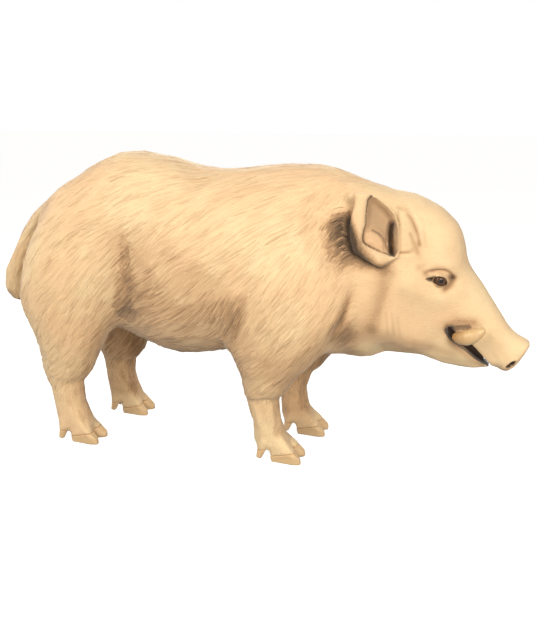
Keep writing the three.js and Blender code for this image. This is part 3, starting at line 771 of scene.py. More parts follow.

# the deep coat colour darkens the hair's grain and is the brown of the painted shade; the dark one is painted
# shadow behind the ears and in the deepest creases
COAT_PALE, COAT_WARM, COAT_GRAIN_AND_SHADE, COAT_SHADOW = "#fce4b8", "#f8d6ab", "#c8a27b", "#37291d"
# the dark flesh colour is the lids' darker skin and the painted shade in the mouth, nostrils, tusk sockets
# and the ear's depths
FLESH_DEEP, FLESH_PALE, FLESH_DARK_AND_SHADE = "#dfb58b", "#edcaa0", "#2a1c15"
HORN_DEEP, HORN_PALE, HORN_RING = "#e2bb89", "#f4d6aa", "#a5835a"
IVORY_DEEP, IVORY_PALE, IVORY_STAIN = "#d5b07c", "#e5c595", "#b98f5a"
PUPIL, IRIS_DEEP, IRIS_PALE, IRIS_RIM, EYE_WHITE = "#0a0605", "#2e1a0e", "#6b4424", "#20130b", "#a98a6c"


def coat_colours_and_shade(tree):
    """The coat's colours, on skin and tufts alike: sandy patches, with painted shade in hollows and creases
    and painted shadow behind the ears.
    """
    patches = noise(tree, place_in(tree), SANDY_PATCHES, 3.0, Roughness=0.55)
    spread = ramp(tree, patches, 0.36, 0.66, kind="SMOOTHSTEP")
    sandy = blend(tree, spread, COAT_WARM, COAT_PALE)
    tone = attribute(tree, "tone")
    deep = blend(tree, ramp(tree, tone, 0.0, 0.5), sandy, COAT_GRAIN_AND_SHADE)
    return blend(tree, ramp(tree, tone, 0.4, 1.0), deep, COAT_SHADOW)


def coat_material():
    """Winter coat: stiff, dry, matt hair. A hair of a third of a millimetre is drawn five times as coarse."""
    material, tree = finish("winter_coat_hair")
    grain = noise(tree, attribute(tree, "strand", "Vector"), 1.0, 2.0)
    base = blend(tree, ramp(tree, grain, 0.3, 0.7, 0.0, 0.10), coat_colours_and_shade(tree), COAT_GRAIN_AND_SHADE)
    close(tree, base, bump(tree, grain, 0.2, 0.0004), Roughness=0.72, IOR=1.5, Specular_IOR_Level=0.25,
          Sheen_Weight=0.45, Sheen_Roughness=0.5)
    return material


def skin_material():
    """Skin under short flat hair, combed finely, and bare and leathery on the disc, lids and lips."""
    material, tree = finish("short_haired_skin")
    grain = noise(tree, attribute(tree, "strand", "Vector"), 1.0, 3.0, Roughness=0.6)
    furred = blend(tree, ramp(tree, grain, 0.3, 0.7, 0.0, 0.14), coat_colours_and_shade(tree), COAT_GRAIN_AND_SHADE)
    place = place_in(tree)
    pores = output_of(tree, "ShaderNodeTexVoronoi", inputs={"Vector": place, "Scale": PORES})
    flesh = blend(tree, noise(tree, place, FLESH_MOTTLE, 3.0), FLESH_DEEP, FLESH_PALE)
    bare = attribute(tree, "bare")
    body = blend(tree, bare, furred, flesh)
    # darker lid rims, and painted shade in the mouth, nostrils, tusk sockets and the ear's depths
    base = blend(tree, attribute(tree, "dark"), body, FLESH_DARK_AND_SHADE)
    height = output_of(tree, "ShaderNodeMix", {"data_type": "FLOAT"}, {0: bare, 2: grain, 3: pores})
    close(tree, base, bump(tree, height, 0.5, 0.0008), Roughness=ramp(tree, bare, low=0.74, high=0.5),
          IOR=1.45, Specular_IOR_Level=0.3, Sheen_Weight=0.35)
    return material


def horn_material():
    """Hoof horn: satin keratin, laid down in rings some 3 mm apart."""
    material, tree = finish("hoof_horn")
    place = place_in(tree)
    rings = output_of(tree, "ShaderNodeTexWave", {"bands_direction": "Z"}, {
        "Vector": place, "Scale": HORN_RINGS, "Distortion": 1.5, "Detail": 2.0, "Detail Scale": 0.6,
    }, "Fac")
    tint = blend(tree, noise(tree, place, HORN_MOTTLE, 3.0), HORN_DEEP, HORN_PALE)
    base = blend(tree, ramp(tree, rings, low=0.0, high=0.22), tint, HORN_RING)
    close(tree, base, bump(tree, rings, 0.4, 0.0008), Roughness=0.48, IOR=1.54)
    return material


def ivory_material():
    """Tusk enamel: cream, polished by wear, stained and finely grooved towards the gum."""
    material, tree = finish("tusk_enamel")
    grooves = noise(tree, place_in(tree), TUSK_GROOVES, 4.0, Distortion=0.6)
    stain = ramp(tree, attribute(tree, "along"), 0.0, 0.6, 0.9, 0.0, "SMOOTHSTEP")
    base = blend(tree, stain, blend(tree, grooves, IVORY_DEEP, IVORY_PALE), IVORY_STAIN)
    close(tree, base, bump(tree, grooves, 0.15, 0.0005), Roughness=0.34, IOR=1.54,
          Subsurface_Weight=0.15, Subsurface_Radius=(0.006, 0.004, 0.002))
    return material


def eye_material():
    """A glass eye, as museums set: a dark oval pupil, a brown rayed iris, a dark rim and a clear gloss."""
    material, tree = finish("glass_eye")
    gaze = attribute(tree, "gaze")
    iris = blend(tree, noise(tree, place_in(tree), IRIS_RAYS, 2.0), IRIS_DEEP, IRIS_PALE)
    inner = blend(tree, ramp(tree, gaze, 0.26, 0.34, kind="SMOOTHSTEP"), PUPIL, iris)
    ringed = blend(tree, ramp(tree, gaze, 0.74, 0.88, kind="SMOOTHSTEP"), inner, IRIS_RIM)
    base = blend(tree, ramp(tree, gaze, 0.95, 1.1, kind="SMOOTHSTEP"), ringed, EYE_WHITE)
    close(tree, base, Roughness=0.5, IOR=1.4, Specular_IOR_Level=0.1, Coat_Weight=0.7,
          Coat_Roughness=0.05, Coat_IOR=1.38)
    return material


# ---------------------------------------------------------------- attributes that the finishes read
def write_attribute(mesh, name, kind, values):
    field = "vector" if kind == "FLOAT_VECTOR" else "value"
    mesh.attributes.new(name, kind, "POINT").data.foreach_set(field, np.asarray(values, np.float32).ravel())


def bare_and_dark(points, normals):
    """Where the skin is hairless, and where it is dark: the lid rims, and painted shade in the nostrils,
    mouth and ears.
    """
    bare, dark = np.zeros(len(points)), np.zeros(len(points))
    for side in SIDES:
        u, v, off = FACE[side].read(points)
        disc = smoothstep(normals @ ALONG, 0.25, 0.75) * smoothstep(u, 468, 486)
        slit = polygon_distance(u, v, round_line(EYE_SLIT + EYE_SLIT[:1], 1)[:-1])
        lid = smoothstep(slit, -3.2, -0.8) * (off > 60)
        mouth, _ = line_distance(u, v, [(a, c) for a, _, c in MOUTH])
        lip = np.interp(u, *zip(*[(a, b) for a, b, _ in MOUTH]))
        # the mouth's lining is dark with painted shade in the gap
        lining = smoothstep(mouth, 16, 11) * smoothstep(lip - off, 2.0, 6.5) * (off > -1)
        # the nostrils are dark with painted shade inside
        hole = np.zeros(len(points))
        for place, way, breadth, height, _ in NOSTRILS:
            oval, depth = in_nostril(points, side, place, way, breadth, height)
            hole = np.maximum(hole, smoothstep(oval, 1.28, 1.0) * (depth > -12) * (depth < 40))
        # the socket above each tusk: hairless gum, dark with painted shade
        socket, _ = line_distance(u, v, [(a, c) for a, _, c in TUSK_SOCKET])
        cheek = np.interp(u, (280, 330), (92, 86))
        gum = smoothstep(socket, 13, 5) * smoothstep(cheek - off, -3.0, 3.0) * (off > 40)
        a, b, c = EAR[side].read(points)
        # the ear's bowl is hairless; painted shade in its slot, along its groove, beside its ridge and deeper
        # in the bowl
        bowl = smoothstep(polygon_distance(a, b, EAR_BOWL), -1, 3) * (c > -95) * (c < 12)
        slot = smoothstep(polygon_distance(a, b, EAR_SLOT), -4, 3) * (c > -95) * (c < -6)
        groove, _ = line_distance(a, b, EAR_BOWL[:12])
        ridge, _ = line_distance(a + 4.5, b + 3.0, EAR_RIDGE)
        lines = np.maximum(0.85 * np.exp(-((groove / 3.6) ** 2)), 0.75 * np.exp(-((ridge / 3.2) ** 2)))
        pad = smoothstep(polygon_distance(a, b, EAR_PAD), -3, 3)
        inner = bowl * (0.10 + 0.30 * smoothstep(a + b, -30, 40)) * (1 - 0.5 * pad)
        lines *= (c > -62) * (c < 6) * smoothstep(polygon_distance(a, b, EAR_BOWL), -3.5, 0)
        bare = np.maximum.reduce([bare, disc, lid, bowl, lining, gum, hole])
        depths = [lid * 0.75, lining * 0.95, slot * 0.92, hole, gum * 0.7, lines, inner]
        dark = np.maximum.reduce([dark, *depths])
    return bare, dark


# painted shade on the coat and skin, along creases, hollows, the low flank and the throat: a board, a line on
# it, the breadth and depth of the shade, and the least distance off the board
SHADES = [
    ("face", [(206, 84), (213, 68), (208, 50)], 12, 0.60, 60),
    ("face", [(138, 56), (148, 78), (164, 91), (186, 94), (206, 86)], 8, 0.34, 60),
    ("face", [(150, 70), (170, 79), (196, 80)], 7, 0.24, 60),
    ("face", [(112, 58), (128, 56), (146, 50)], 9, 0.20, 60),
    ("face", [(280, -30), (290, -14), (308, 0), (334, 14)], 15, 0.44, 45),
    ("face", [(286, -38), (293, -32)], 9, 0.44, 45),
    ("face", [
        (292, -47), (304, -60), (324, -68), (350, -72), (384, -73), (412, -71), (430, -70),
    ], 12, 0.38, 20),
    ("face", [(72, 108), (82, 92), (96, 82)], 9, 0.14, 60),
    ("face", [(0, 151), (14, 148), (36, 137), (58, 124), (76, 108)], 6, 0.36, 60),
    ("face", [(38, 116), (58, 104), (84, 87)], 6, 0.26, 60),
    ("face", [(62, 140), (80, 128), (94, 114)], 6, 0.14, 60),
    ("face", [(-34, 148), (-22, 153), (-8, 158)], 5, 0.24, 60),
    ("face", [(-26, 140), (-6, 116), (15, 96), (46, 62)], 5, 0.18, 60),
    ("face", [(46, 60), (58, 70), (68, 85)], 6, 0.22, 60),
    ("face", [(36, 0), (66, -38), (92, -100), (118, -160)], 22, 0.34, 60),
    ("face", [(78, -225), (121, -188), (170, -163), (229, -143)], 28, 0.24, 40),
    ("face", [(20, 122), (52, 100)], 26, 0.12, 60),
    ("face", [(-10, -30), (34, -4), (66, 6)], 16, 0.24, 60),
    ("face", [(74, -128), (90, -164)], 34, 0.10, 60),
    ("face", [(250, -130), (311, -114), (352, -102)], 18, 0.20, 15),
    ("face", [(121, -99), (164, -149)], 4, 0.14, 60),
    ("face", [(134, -90), (177, -139)], 4, 0.16, 60),
    ("face", [(154, -92), (194, -134)], 4, 0.12, 60),
    ("flank", [(-322, 690), (-316, 640), (-311, 580), (-312, 520), (-320, 470)], 24, 0.44, 60),
    ("flank", [(-322, 452), (-328, 432)], 22, 0.50, 60),
    ("flank", [(-290, 545), (-202, 515), (-124, 500), (-49, 490), (10, 505)], 58, 0.32, 60),
    ("flank", [(58, 505), (40, 470), (24, 430), (12, 368)], 22, 0.28, 60),
    ("flank", [(150, 440), (122, 381), (105, 330)], 34, 0.20, 60),
    ("flank", [(352, 556), (344, 520), (328, 470), (306, 420), (290, 392)], 14, 0.12, 60),
    ("flank", [(330, 455), (340, 400), (348, 350)], 34, 0.24, 60),
]


def in_fold(points):
    """1 in the folds of the face and round the nostrils, where the hair is too short for tufts."""
    fold = np.zeros(len(points))
    for side in SIDES:
        u, v, off = FACE[side].read(points)
        for name, line, breadth, _, least in SHADES:
            if name == "face" and breadth <= 12:
                far, _ = line_distance(u, v, round_line(line))
                fold = np.maximum(fold, np.exp(-((far / (breadth + 7)) ** 2)) * (off > least - 15))
        for place, way, breadth, height, _ in NOSTRILS:
            oval, depth = in_nostril(points, side, place, way, breadth, height)
            fold = np.maximum(fold, smoothstep(oval, 2.6, 1.8) * (np.abs(depth) < 40))
    return fold


def tight(points, triangles):
    """1 on the head and ears where the skin turns too sharply for a tuft: rims, lids and fold edges."""
    smoother = Smoother(len(points), triangles)
    normals = vertex_normals(points, triangles)
    calm = np.stack([smoother.spread(normals[:, k], 8) for k in range(3)], 1)
    head = np.maximum(smoothstep((points - HEAD_START) @ ALONG / MM, -40, 20), ear_cover(points))
    return smoothstep(1 - np.linalg.norm(calm, axis=1), 0.05, 0.13) * head


def coat_shade(points, triangles):
    """How much painted shade the coat and skin get: in hollows, along the creases named above, underneath and
    in the ruff.
    """
    smoother = Smoother(len(points), triangles)
    normals = vertex_normals(points, triangles)
    shade = np.zeros(len(points))
    along = (points - HEAD_START) @ ALONG / MM
    height = points[:, 2] / MM
    out = np.abs(points[:, 1] - MIDDLE) / MM
    outer = 1 - 0.85 * smoothstep(out, 140, 95) * smoothstep(height, 470, 410)
    body = smoothstep(points[:, 0], -0.76, -0.62)
    calm = 1 - 0.9 * smoothstep(along, 60, 140)
    # painted shade in the skin's hollows, at a fine and a broad scale
    for rounds, depth, share in ((12, 1.6, 0.06), (60, 5.0, 0.34)):
        filled = np.stack([smoother.spread(points[:, k], rounds) for k in range(3)], 1)
        hollow = smoother.spread(((filled - points) * normals).sum(1) / MM, 6)
        shade += share * smoothstep(hollow, 0.12 * depth, depth) * outer * calm * body
    for side in SIDES:
        for name, line, breadth, strength, least in SHADES:
            board = (FACE if name == "face" else FLANK)[side]
            u, v, off = board.read(points)
            far, _ = line_distance(u, v, round_line(line))
            turned = smoothstep(normals @ board.axes[2], -0.35, 0.15)
            shade += strength * np.exp(-((far / breadth) ** 2)) * smoothstep(off, least - 15, least) * turned
    # painted shade under the belly and on the inner sides of the legs
    inner = -normals[:, 1] * np.sign(points[:, 1] - MIDDLE) * smoothstep(height, 420, 330)
    below = smoothstep(-normals[:, 2], -0.05, 0.5) * smoothstep(height, 180, 300) * smoothstep(along, 120, 0)
    shade += 0.24 * below
    shade += 0.05 * smoothstep(inner, 0.0, 0.7)
    shade *= 0.4 + 0.6 * smoothstep(height, 215, 290)
    # painted shade on the inner sides and the fronts of the shanks
    shank = smoothstep(height, 330, 230) * smoothstep(height, 50, 90)
    shade += shank * (0.24 * smoothstep(inner, -0.2, 0.9) + 0.24 * smoothstep(normals[:, 0], 0.1, 0.8))
    # painted shadow in the ruff behind each ear
    ruff = ruff_cover(points) * (0.5 + 0.5 * smoothstep(points[:, 0] / MM, 305, 350))
    ruff *= 0.4 + 0.6 * smoothstep(height, 635, 700)
    return np.clip(shade + 1.35 * ruff, 0, 1)


# ---------------------------------------------------------------- the coat
PATCH = 0.003          # how wide a tuft is on the bake's map
HAIR = 1.6             # one hair's breadth as drawn, in millimetres
HAIR_RUN = 22.0        # how far its shade runs along a tuft
SKIN_HAIR_RUN = 9.0    # and along the skin's short hair
CELL = 0.012           # the blocks, in metres, in which the skin's triangles are taken for rooting tufts
# kind: length, breadth, thickness and rise of the tip in millimetres, and how many layers lie over each place
KINDS = {
    "back": (84, 6.4, 1.1, 0.6, 3.7),
    "shoulder": (80, 7.0, 1.5, 2.4, 4.0),
    "haunch": (72, 6.6, 1.4, 1.8, 4.0),
    "belly": (50, 6.6, 1.1, 1.0, 3.0),
    "neck": (46, 5.0, 1.0, 0.6, 3.6),
    "ruff": (50, 4.6, 1.6, 5.0, 4.5),
    "cheek": (18, 2.8, 0.45, 0.15, 1.3),
    "snout": (9, 1.8, 0.25, 0.1, 0.7),
    "ear": (14, 2.6, 0.4, 0.2, 1.1),
    "shank": (16, 2.8, 0.4, 0.2, 1.2),
    "tail": (34, 4.2, 1.0, 0.5, 3.0),
}
RUFF = [
    (292, 792), (330, 778), (354, 730), (374, 680), (410, 646),
    (394, 616), (352, 620), (318, 652), (298, 700), (286, 746),
]


def ruff_cover(points):
    """1 in the shaggy hair behind each ear, which is darkened by painted shadow."""
    cover = np.zeros(len(points))
    for side in SIDES:
        u, v, off = FLANK[side].read(points)
        cover = np.maximum(cover, smoothstep(polygon_distance(u, v, RUFF), -18, 20) * smoothstep(off, 60, 90))
    return cover


def near_ear(points):
    """1 close in front of an ear, where long tufts would cross its rim."""
    cover = np.zeros(len(points))
    for side in SIDES:
        u, v, off = EAR[side].read(points)
        close_by = smoothstep(polygon_distance(u, v, EAR_OUTLINE), -40, -12)
        cover = np.maximum(cover, close_by * (u > -30) * (np.abs(off) < 90))
    return cover


def ear_cover(points):
    """1 on the ears, and 0 a little way off them."""
    cover = np.zeros(len(points))
    for side in SIDES:
        u, v, off = EAR[side].read(points)
        leaf = smoothstep(polygon_distance(u, v, EAR_OUTLINE), -4, 1)
        sunk = smoothstep(u - 0.25 * v, 20, 60)
        cover = np.maximum(cover, leaf * smoothstep(off, -44 + 30 * sunk, -34 + 30 * sunk) * (off < 40))
    return cover


def tail_cover(points):
    x, y, z = (points / MM).T
    rump = table(z, [(400, -757), (560, -770), (640, -757), (700, -735), (745, -700)])
    return smoothstep(rump - x, -3, 4) * (np.abs(y - MIDDLE / MM) < 45) * (z > 395) * (z < 770)


def coat_kinds(points, normals):
    """How much of each kind of coat grows at each point. The shares add up to 1."""
    x, z = points[:, 0] / MM, points[:, 2] / MM
    along = (points - HEAD_START) @ ALONG / MM
    masks = [
        ("shoulder", smoothstep(x, -90, 20) * smoothstep(x, 300, 220) * smoothstep(z, 700, 560)),
        ("haunch", smoothstep(x, -290, -380) * smoothstep(z, 720, 560)),
        ("belly", smoothstep(-normals[:, 2], 0.35, 0.8) * smoothstep(z, 480, 400)),
        ("neck", smoothstep(x, 170, 270)),
        ("ruff", ruff_cover(points)),
        ("cheek", np.maximum(smoothstep(along, -110, -10) * smoothstep(x, 345, 400), near_ear(points))),
        ("snout", smoothstep(along, 290, 370)),
        ("shank", smoothstep(z - hem_height(x), 16, -10)),
        ("tail", tail_cover(points)),
        ("ear", ear_cover(points)),
    ]
    shares = {"back": np.ones(len(points))}
    for kind, mask in masks:
        for other in shares:
            shares[other] = shares[other] * (1 - mask)
        shares[kind] = mask
    return shares


def lie(points, normals):
    """The way the hair lies: back and down over the body, up the face, down the legs, out along the ears."""
    shares = coat_kinds(points, normals)
    z, y = points[:, 2] / MM, points[:, 1] - MIDDLE
    slope = np.radians(table(z, [(300, 34), (450, 40), (600, 37), (750, 30), (900, 20)]))
    parting = 0.22 * np.sign(y) * smoothstep(np.abs(y), 0.0, 0.05)
    flank = np.stack([-np.cos(slope), parting, -np.sin(slope)], 1)
    steeper = np.stack([-np.cos(slope + 0.22), parting, -np.sin(slope + 0.22)], 1)
    ways = {
        "back": flank, "belly": np.array([-1.0, 0, -0.2]), "shoulder": steeper, "haunch": steeper,
        "neck": np.array([-0.66, 0, -0.75]), "ruff": np.array([-0.86, 0, -0.5]),
        "cheek": -ALONG - 0.35 * ABOVE, "snout": -ALONG - 0.1 * ABOVE, "ear": np.array([-0.35, 0, 1.0]),
        "shank": np.array([-0.12, 0, -1.0]), "tail": np.array([-0.35, 0, -1.0]),
    }
    way = sum(shares[kind][:, None] * ways[kind] for kind in ways)
    way -= (way * normals).sum(1, keepdims=True) * normals
    way = unit(way)
    swirl = np.radians(10) * ripple(points, 0.17, SEED) + np.radians(5) * ripple(points, 0.06, SEED + 1)
    across = np.cross(normals, way)
    return unit(way * np.cos(swirl)[:, None] + across * np.sin(swirl)[:, None])


class Coat:
    """Tufts rooted on the skin, each a thin closed blade that lies along it."""

    def __init__(self, points, triangles, thin, shade):
        self.points, self.triangles, self.shade = points, triangles, shade
        self.normals = vertex_normals(points, triangles)
        self.tree = BVHTree.FromPolygons(points.tolist(), triangles.tolist())
        self.chance = np.random.default_rng(SEED)
        self.centres = points[triangles].mean(1)
        cross = np.cross(*(points[triangles[:, k]] - points[triangles[:, 0]] for k in (1, 2)))
        self.areas = np.linalg.norm(cross, axis=1) / 2
        self.facing = unit(cross)
        shares = coat_kinds(self.centres, self.facing)
        self.look = sum(shares[kind][:, None] * np.array(KINDS[kind], float) for kind in KINDS)
        self.wanted = self.areas * self.look[:, 4] / (0.5 * self.look[:, 0] * self.look[:, 1] * MM * MM)
        self.wanted *= smoothstep(thin[triangles].mean(1), 0.5, 0.1)
        self.shares = shares

    def follow(self, places):
        """The nearest places on the skin, its smoothed normals there and the painted shade there."""
        found = [self.tree.find_nearest(p) for p in places.tolist()]
        on_skin = np.array([f[0] for f in found])
        corners = self.triangles[[f[2] for f in found]]
        return on_skin, unit(self.normals[corners].mean(1)), self.shade[corners].mean(1)

    def grow(self, name, chosen, material, steps):
        """One piece of coat over the chosen triangles of the skin."""
        faces = np.flatnonzero(chosen)
        grid = np.floor((self.centres[faces] - self.centres.min(0)) / CELL).astype(np.int64)
        order = np.lexsort((grid[:, 1], grid[:, 2], grid[:, 0]))
        faces = faces[order]
        total = np.cumsum(self.wanted[faces])
        count = int(total[-1])
        at = np.searchsorted(total, (np.arange(count) + self.chance.random(count)) * total[-1] / count)
        at = faces[np.clip(at, 0, len(faces) - 1)]
        a, b = self.chance.random((2, count))
        over = a + b > 1
        a, b = np.where(over, 1 - a, a), np.where(over, 1 - b, b)
        corners = self.triangles[at]
        weights = np.stack([1 - a - b, a, b], 1)[..., None]
        root = (self.points[corners] * weights).sum(1)
        normal = unit((self.normals[corners] * weights).sum(1))
        length, breadth, thick, rise = (self.look[at, k] * MM for k in range(4))
        length = length * self.chance.uniform(0.7, 1.25, count)
        breadth = breadth * self.chance.uniform(0.75, 1.25, count)
        thick = thick * self.chance.uniform(0.7, 1.3, count)
        rise = rise * self.chance.uniform(0.2, 1.3, count)
        stray = (self.chance.random(count) < 0.09) * smoothstep(length / MM, 30, 50)
        rise += stray * 2.0 * MM
        thick *= 1 + 0.5 * stray
        accent = 0.10 * stray
        way = lie(root, normal)
        askew = self.chance.normal(0, math.radians(4), count)
        way = unit(way + np.cross(normal, way) * np.tan(askew)[:, None])
        lean = np.cross(normal, way)
        spine, up, side = [root - normal * (thick * 0.8)[:, None]], [normal], [lean]
        here, heading, last = root, way, 0.0
        shades = [(self.shade[corners] * weights[..., 0]).sum(1)]
        for share in [*steps, 1.0]:
            here, normal, shade = self.follow(here + heading * (length * (share - last))[:, None])
            flow = lie(here, normal)
            heading = unit(heading + flow - ((heading + flow) * normal).sum(1, keepdims=True) * normal)
            spine.append(here + normal * (rise * share ** 2)[:, None])
            up.append(normal)
            side.append(np.cross(normal, heading))
            shades.append(shade)
            last = share
        rings = len(steps)
        points = [spine[0]]
        widths = {2: (0.82, 0.9), 3: (0.75, 1.0, 0.72)}[rings]
        heights = {2: (0.8, 0.9), 3: (0.75, 1.0, 0.8)}[rings]
        for k in range(rings):
            half = side[k + 1] * (breadth * widths[k] / 2)[:, None]
            top = up[k + 1] * (thick * heights[k])[:, None]
            points += [spine[k + 1] - half, spine[k + 1] + top, spine[k + 1] + half]
        points.append(spine[-1])
        soft = [up[0]]
        for k in range(rings):
            soft += [up[k + 1] - 0.5 * side[k + 1], up[k + 1], up[k + 1] + 0.5 * side[k + 1]]
        soft.append(up[-1])
        per = len(points)
        points = np.stack(points, 1).reshape(-1, 3)
        fan = [(0, 1, 2), (0, 2, 3), (0, 3, 1)]
        for k in range(rings - 1):
            low = 1 + 3 * k
            for i in range(3):
                p, q = low + i, low + (i + 1) % 3
                fan += [(p, p + 3, q), (q, p + 3, q + 3)]
        low = per - 4
        fan += [(low, per - 1, low + 1), (low + 1, per - 1, low + 2), (low + 2, per - 1, low)]
        faces = (np.array(fan)[None] + (np.arange(count) * per)[:, None, None]).reshape(-1, 3)
        piece = from_arrays(name, points, faces, material)
        under = np.array([2] + [3 + 6 * k + i for k in range(rings - 1) for i in (4, 5)] + [len(fan) - 1])
        soft = unit(np.stack(soft, 1))[:, np.array(fan)]
        soft[:, under] *= -1
        piece.data.normals_split_custom_set(soft.reshape(-1, 3).tolist())
        lock = 0.5 + 0.5 * ripple(root, 0.05, SEED + 2)
        tone = self.chance.normal(0.05, 0.045, count) + 0.10 * smoothstep(lock, 0.55, 0.95)
        tone *= 1 - 0.6 * (self.shares["cheek"] + self.shares["snout"])[at]
        # a tuft takes most of its painted shade from the skin under each part of it, less so in the shaggy
        # ruff
        shades = np.repeat(np.stack(shades, 1), [1, *[3] * rings, 1], axis=1)
        own = 0.2 + 0.5 * self.shares["ruff"][at]
        shades = shades + own[:, None] * (shades[:, :1] - shades)
        fade = np.concatenate([[0.14], np.repeat(np.interp(steps, (0, 1), (0.09, -0.03)), 3), [-0.03]])
        write_attribute(piece.data, "tone", "FLOAT", np.clip((tone + accent)[:, None] + shades + fade, 0, 1))
        self.strands(piece, count, per, rings, steps, length, breadth)
        self.patches(piece, root, up[0], count, rings)
        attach(piece, "root")
        return piece

    def strands(self, piece, count, per, rings, steps, length, breadth):
        """Where each corner is across and along its tuft, in single hairs: the hair's grain follows it."""
        across = np.concatenate([[0], np.tile([-0.5, 0, 0.5], rings), [0]])
        along = np.concatenate([[0], np.repeat(steps, 3), [1]])
        place = np.empty((count, per, 3))
        place[..., 0] = across * (breadth / MM / HAIR)[:, None]
        place[..., 1] = along * (length / MM / HAIR_RUN)[:, None]
        place[..., 2] = self.chance.uniform(0, 50, (count, 1))
        write_attribute(piece.data, "strand", "FLOAT_VECTOR", place)

    def patches(self, piece, root, normal, count, rings):
        """The bake's map: the skin unwrapped on a box's six sides, each tuft a small patch at its root."""
        low, high = root.min(0), root.max(0)
        place = (root - low) / np.maximum(high - low, 1e-6)
        axis = np.abs(normal).argmax(1)
        rows = np.arange(count)
        row = (normal[rows, axis] > 0).astype(int)
        flat = np.stack([place[rows, np.array(kept)[axis]] for kept in ((1, 0, 0), (2, 2, 1))], 1)
        origin = (flat * 0.94 + 0.03 + np.stack([axis, row], 1)) / np.array([3.0, 2.0])
        across = np.concatenate([[0], np.tile([-0.5, 0, 0.5], rings), [0]])
        along = np.concatenate([[0], np.repeat(np.arange(1, rings + 1) / (rings + 1), 3), [1]]) - 0.5
        small = np.stack([across, along + 0.12 * np.abs(across)], 1) * PATCH
        places = (origin[:, None] + small[None]).reshape(-1, 2)
        layer = piece.data.uv_layers.new(name="OFBake")
        corners = np.empty(len(piece.data.loops), np.int32)
        piece.data.loops.foreach_get("vertex_index", corners)
        layer.data.foreach_set("uv", places[corners].astype(np.float32).ravel())


# ---------------------------------------------------------------- tusks, hooves and eyes
def refined(name, node, material, grain=1.8, rounds=10):
    """A horn or hoof node with its facets smoothed away and its sole kept flat."""
    clay = Clay(*mesh_arrays(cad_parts[node].data), grain)
    points, quads = clay.surface(0.15)
    points = Smoother(len(points), quads).smooth(points, rounds)
    floor = points[:, 2] < 1.6 * MM
    points[floor, 2] = 0.0
    piece = from_arrays(name, points, quads, material)
    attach(piece, "root")
    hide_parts(node)
    return piece


TUSK_LINE = [
    (314, 80, -45), (325, 89, -40), (338, 96, -29), (349, 99, -13),
    (356, 100, 4), (361, 99, 17), (364, 98, 28),
]
TIP_START, TIP_RADIUS = 0.92, 10.5    # where the blunt tip starts, as a share of the tusk, and its radius
TUSK_RADII = [
    (0.0, 10.0), (0.16, 17.0), (0.4, 21.5), (0.6, 20.5), (0.8, 15.5), (TIP_START, TIP_RADIUS), (1.0, 0.0),
]


def tusk(side, material):
    """A stout tusk: rings round a line that curves up and out, closing in a blunt worn tip."""
    line = FACE[side].place(*round_line(np.array(TUSK_LINE, float)[:, [0, 2, 1]], 2).T)
    lengths = np.concatenate([[0], np.cumsum(np.linalg.norm(np.diff(line, axis=0), axis=1))])
    rings, around = 30, 40
    shares = 1 - (1 - np.linspace(0, 1, rings)) ** 1.35
    spine = np.stack([np.interp(shares * lengths[-1], lengths, line[:, k]) for k in range(3)], 1)
    radii = table(shares, TUSK_RADII)
    into_tip = (shares - TIP_START) / (1 - TIP_START)
    tip = TIP_RADIUS * np.sqrt(np.clip(1 - into_tip ** 2, 0, 1))
    radii = np.where(shares > TIP_START, tip, radii)
    run = unit(np.gradient(spine, axis=0))
    outward = unit(FACE[side].axes[2] - (run @ FACE[side].axes[2])[:, None] * run)
    upward = np.cross(run, outward)
    turns = np.linspace(0, 2 * math.pi, around, endpoint=False)
    circle = outward[:, None] * np.cos(turns)[None, :, None] * 0.86
    circle = circle + upward[:, None] * np.sin(turns)[None, :, None]
    points = (spine[:, None] + circle * (np.maximum(radii, 0.3) * MM)[:, None, None]).reshape(-1, 3)
    points = np.concatenate([points, spine[:1], spine[-1:] + run[-1:] * 0.2 * MM])
    faces = []
    for k in range(around):
        n = (k + 1) % around
        faces.append((len(points) - 2, n, k, k))
        for r in range(rings - 1):
            faces.append((r * around + k, r * around + n, (r + 1) * around + n, (r + 1) * around + k))
        last = (rings - 1) * around
        faces.append((last + k, last + n, len(points) - 1, len(points) - 1))
    quads = [f for f in faces if f[2] != f[3]]
    triangles = [f[:3] for f in faces if f[2] == f[3]]
    every = np.array([t for q in quads for t in ((q[0], q[1], q[2]), (q[0], q[2], q[3]))] + triangles)
    piece = from_arrays(f"tusk_enamel_{side}", points, every, material)
    write_attribute(piece.data, "along", "FLOAT", np.concatenate([np.repeat(shares, around), [0, 1]]))
    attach(piece, "root")
    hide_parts(f"tusk_{side}")
    return piece


def eye(side, material):
    """A ball with the cornea's slight swell, its iris looking out and forward."""
    work = bmesh.new()
    bmesh.ops.create_icosphere(work, subdivisions=5, radius=1.0)
    mesh = bpy.data.meshes.new(f"eye_ball_{side}")
    work.to_mesh(mesh)
    work.free()
    points, triangles = mesh_arrays(mesh)
    bpy.data.meshes.remove(mesh)
    look = unit(np.array([0.30, SIDES[side] * 0.95, 0.02]))
    level = unit(np.array([look[1], -look[0], 0.0]))
    across, upward = points @ level, points @ np.cross(look, level)
    away = np.arctan2(np.hypot(across * 0.8, upward * 1.12), points @ look)
    swell = 1.0 + 0.03 * smoothstep(away, 0.95, 0.4)
    points = EYE_CENTRE[side] + points * swell[:, None] * EYE_RADIUS * MM
    piece = from_arrays(f"eye_ball_{side}", points, triangles, material)
    write_attribute(piece.data, "gaze", "FLOAT", away)
    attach(piece, "root")
    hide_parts(f"eye_{side}")
    return piece


# ---------------------------------------------------------------- the studio
def seen_straight(tree):
    """1 for what the camera, a mirror or glass sees, 0 for light that falls on the object."""
    rays = add(tree, "ShaderNodeLightPath").outputs
    seen = rays["Is Camera Ray"]
    for kind in ("Is Glossy Ray", "Is Transmission Ray"):
        seen = output_of(tree, "ShaderNodeMath", {"operation": "MAXIMUM"}, {0: seen, 1: rays[kind]})
    return seen


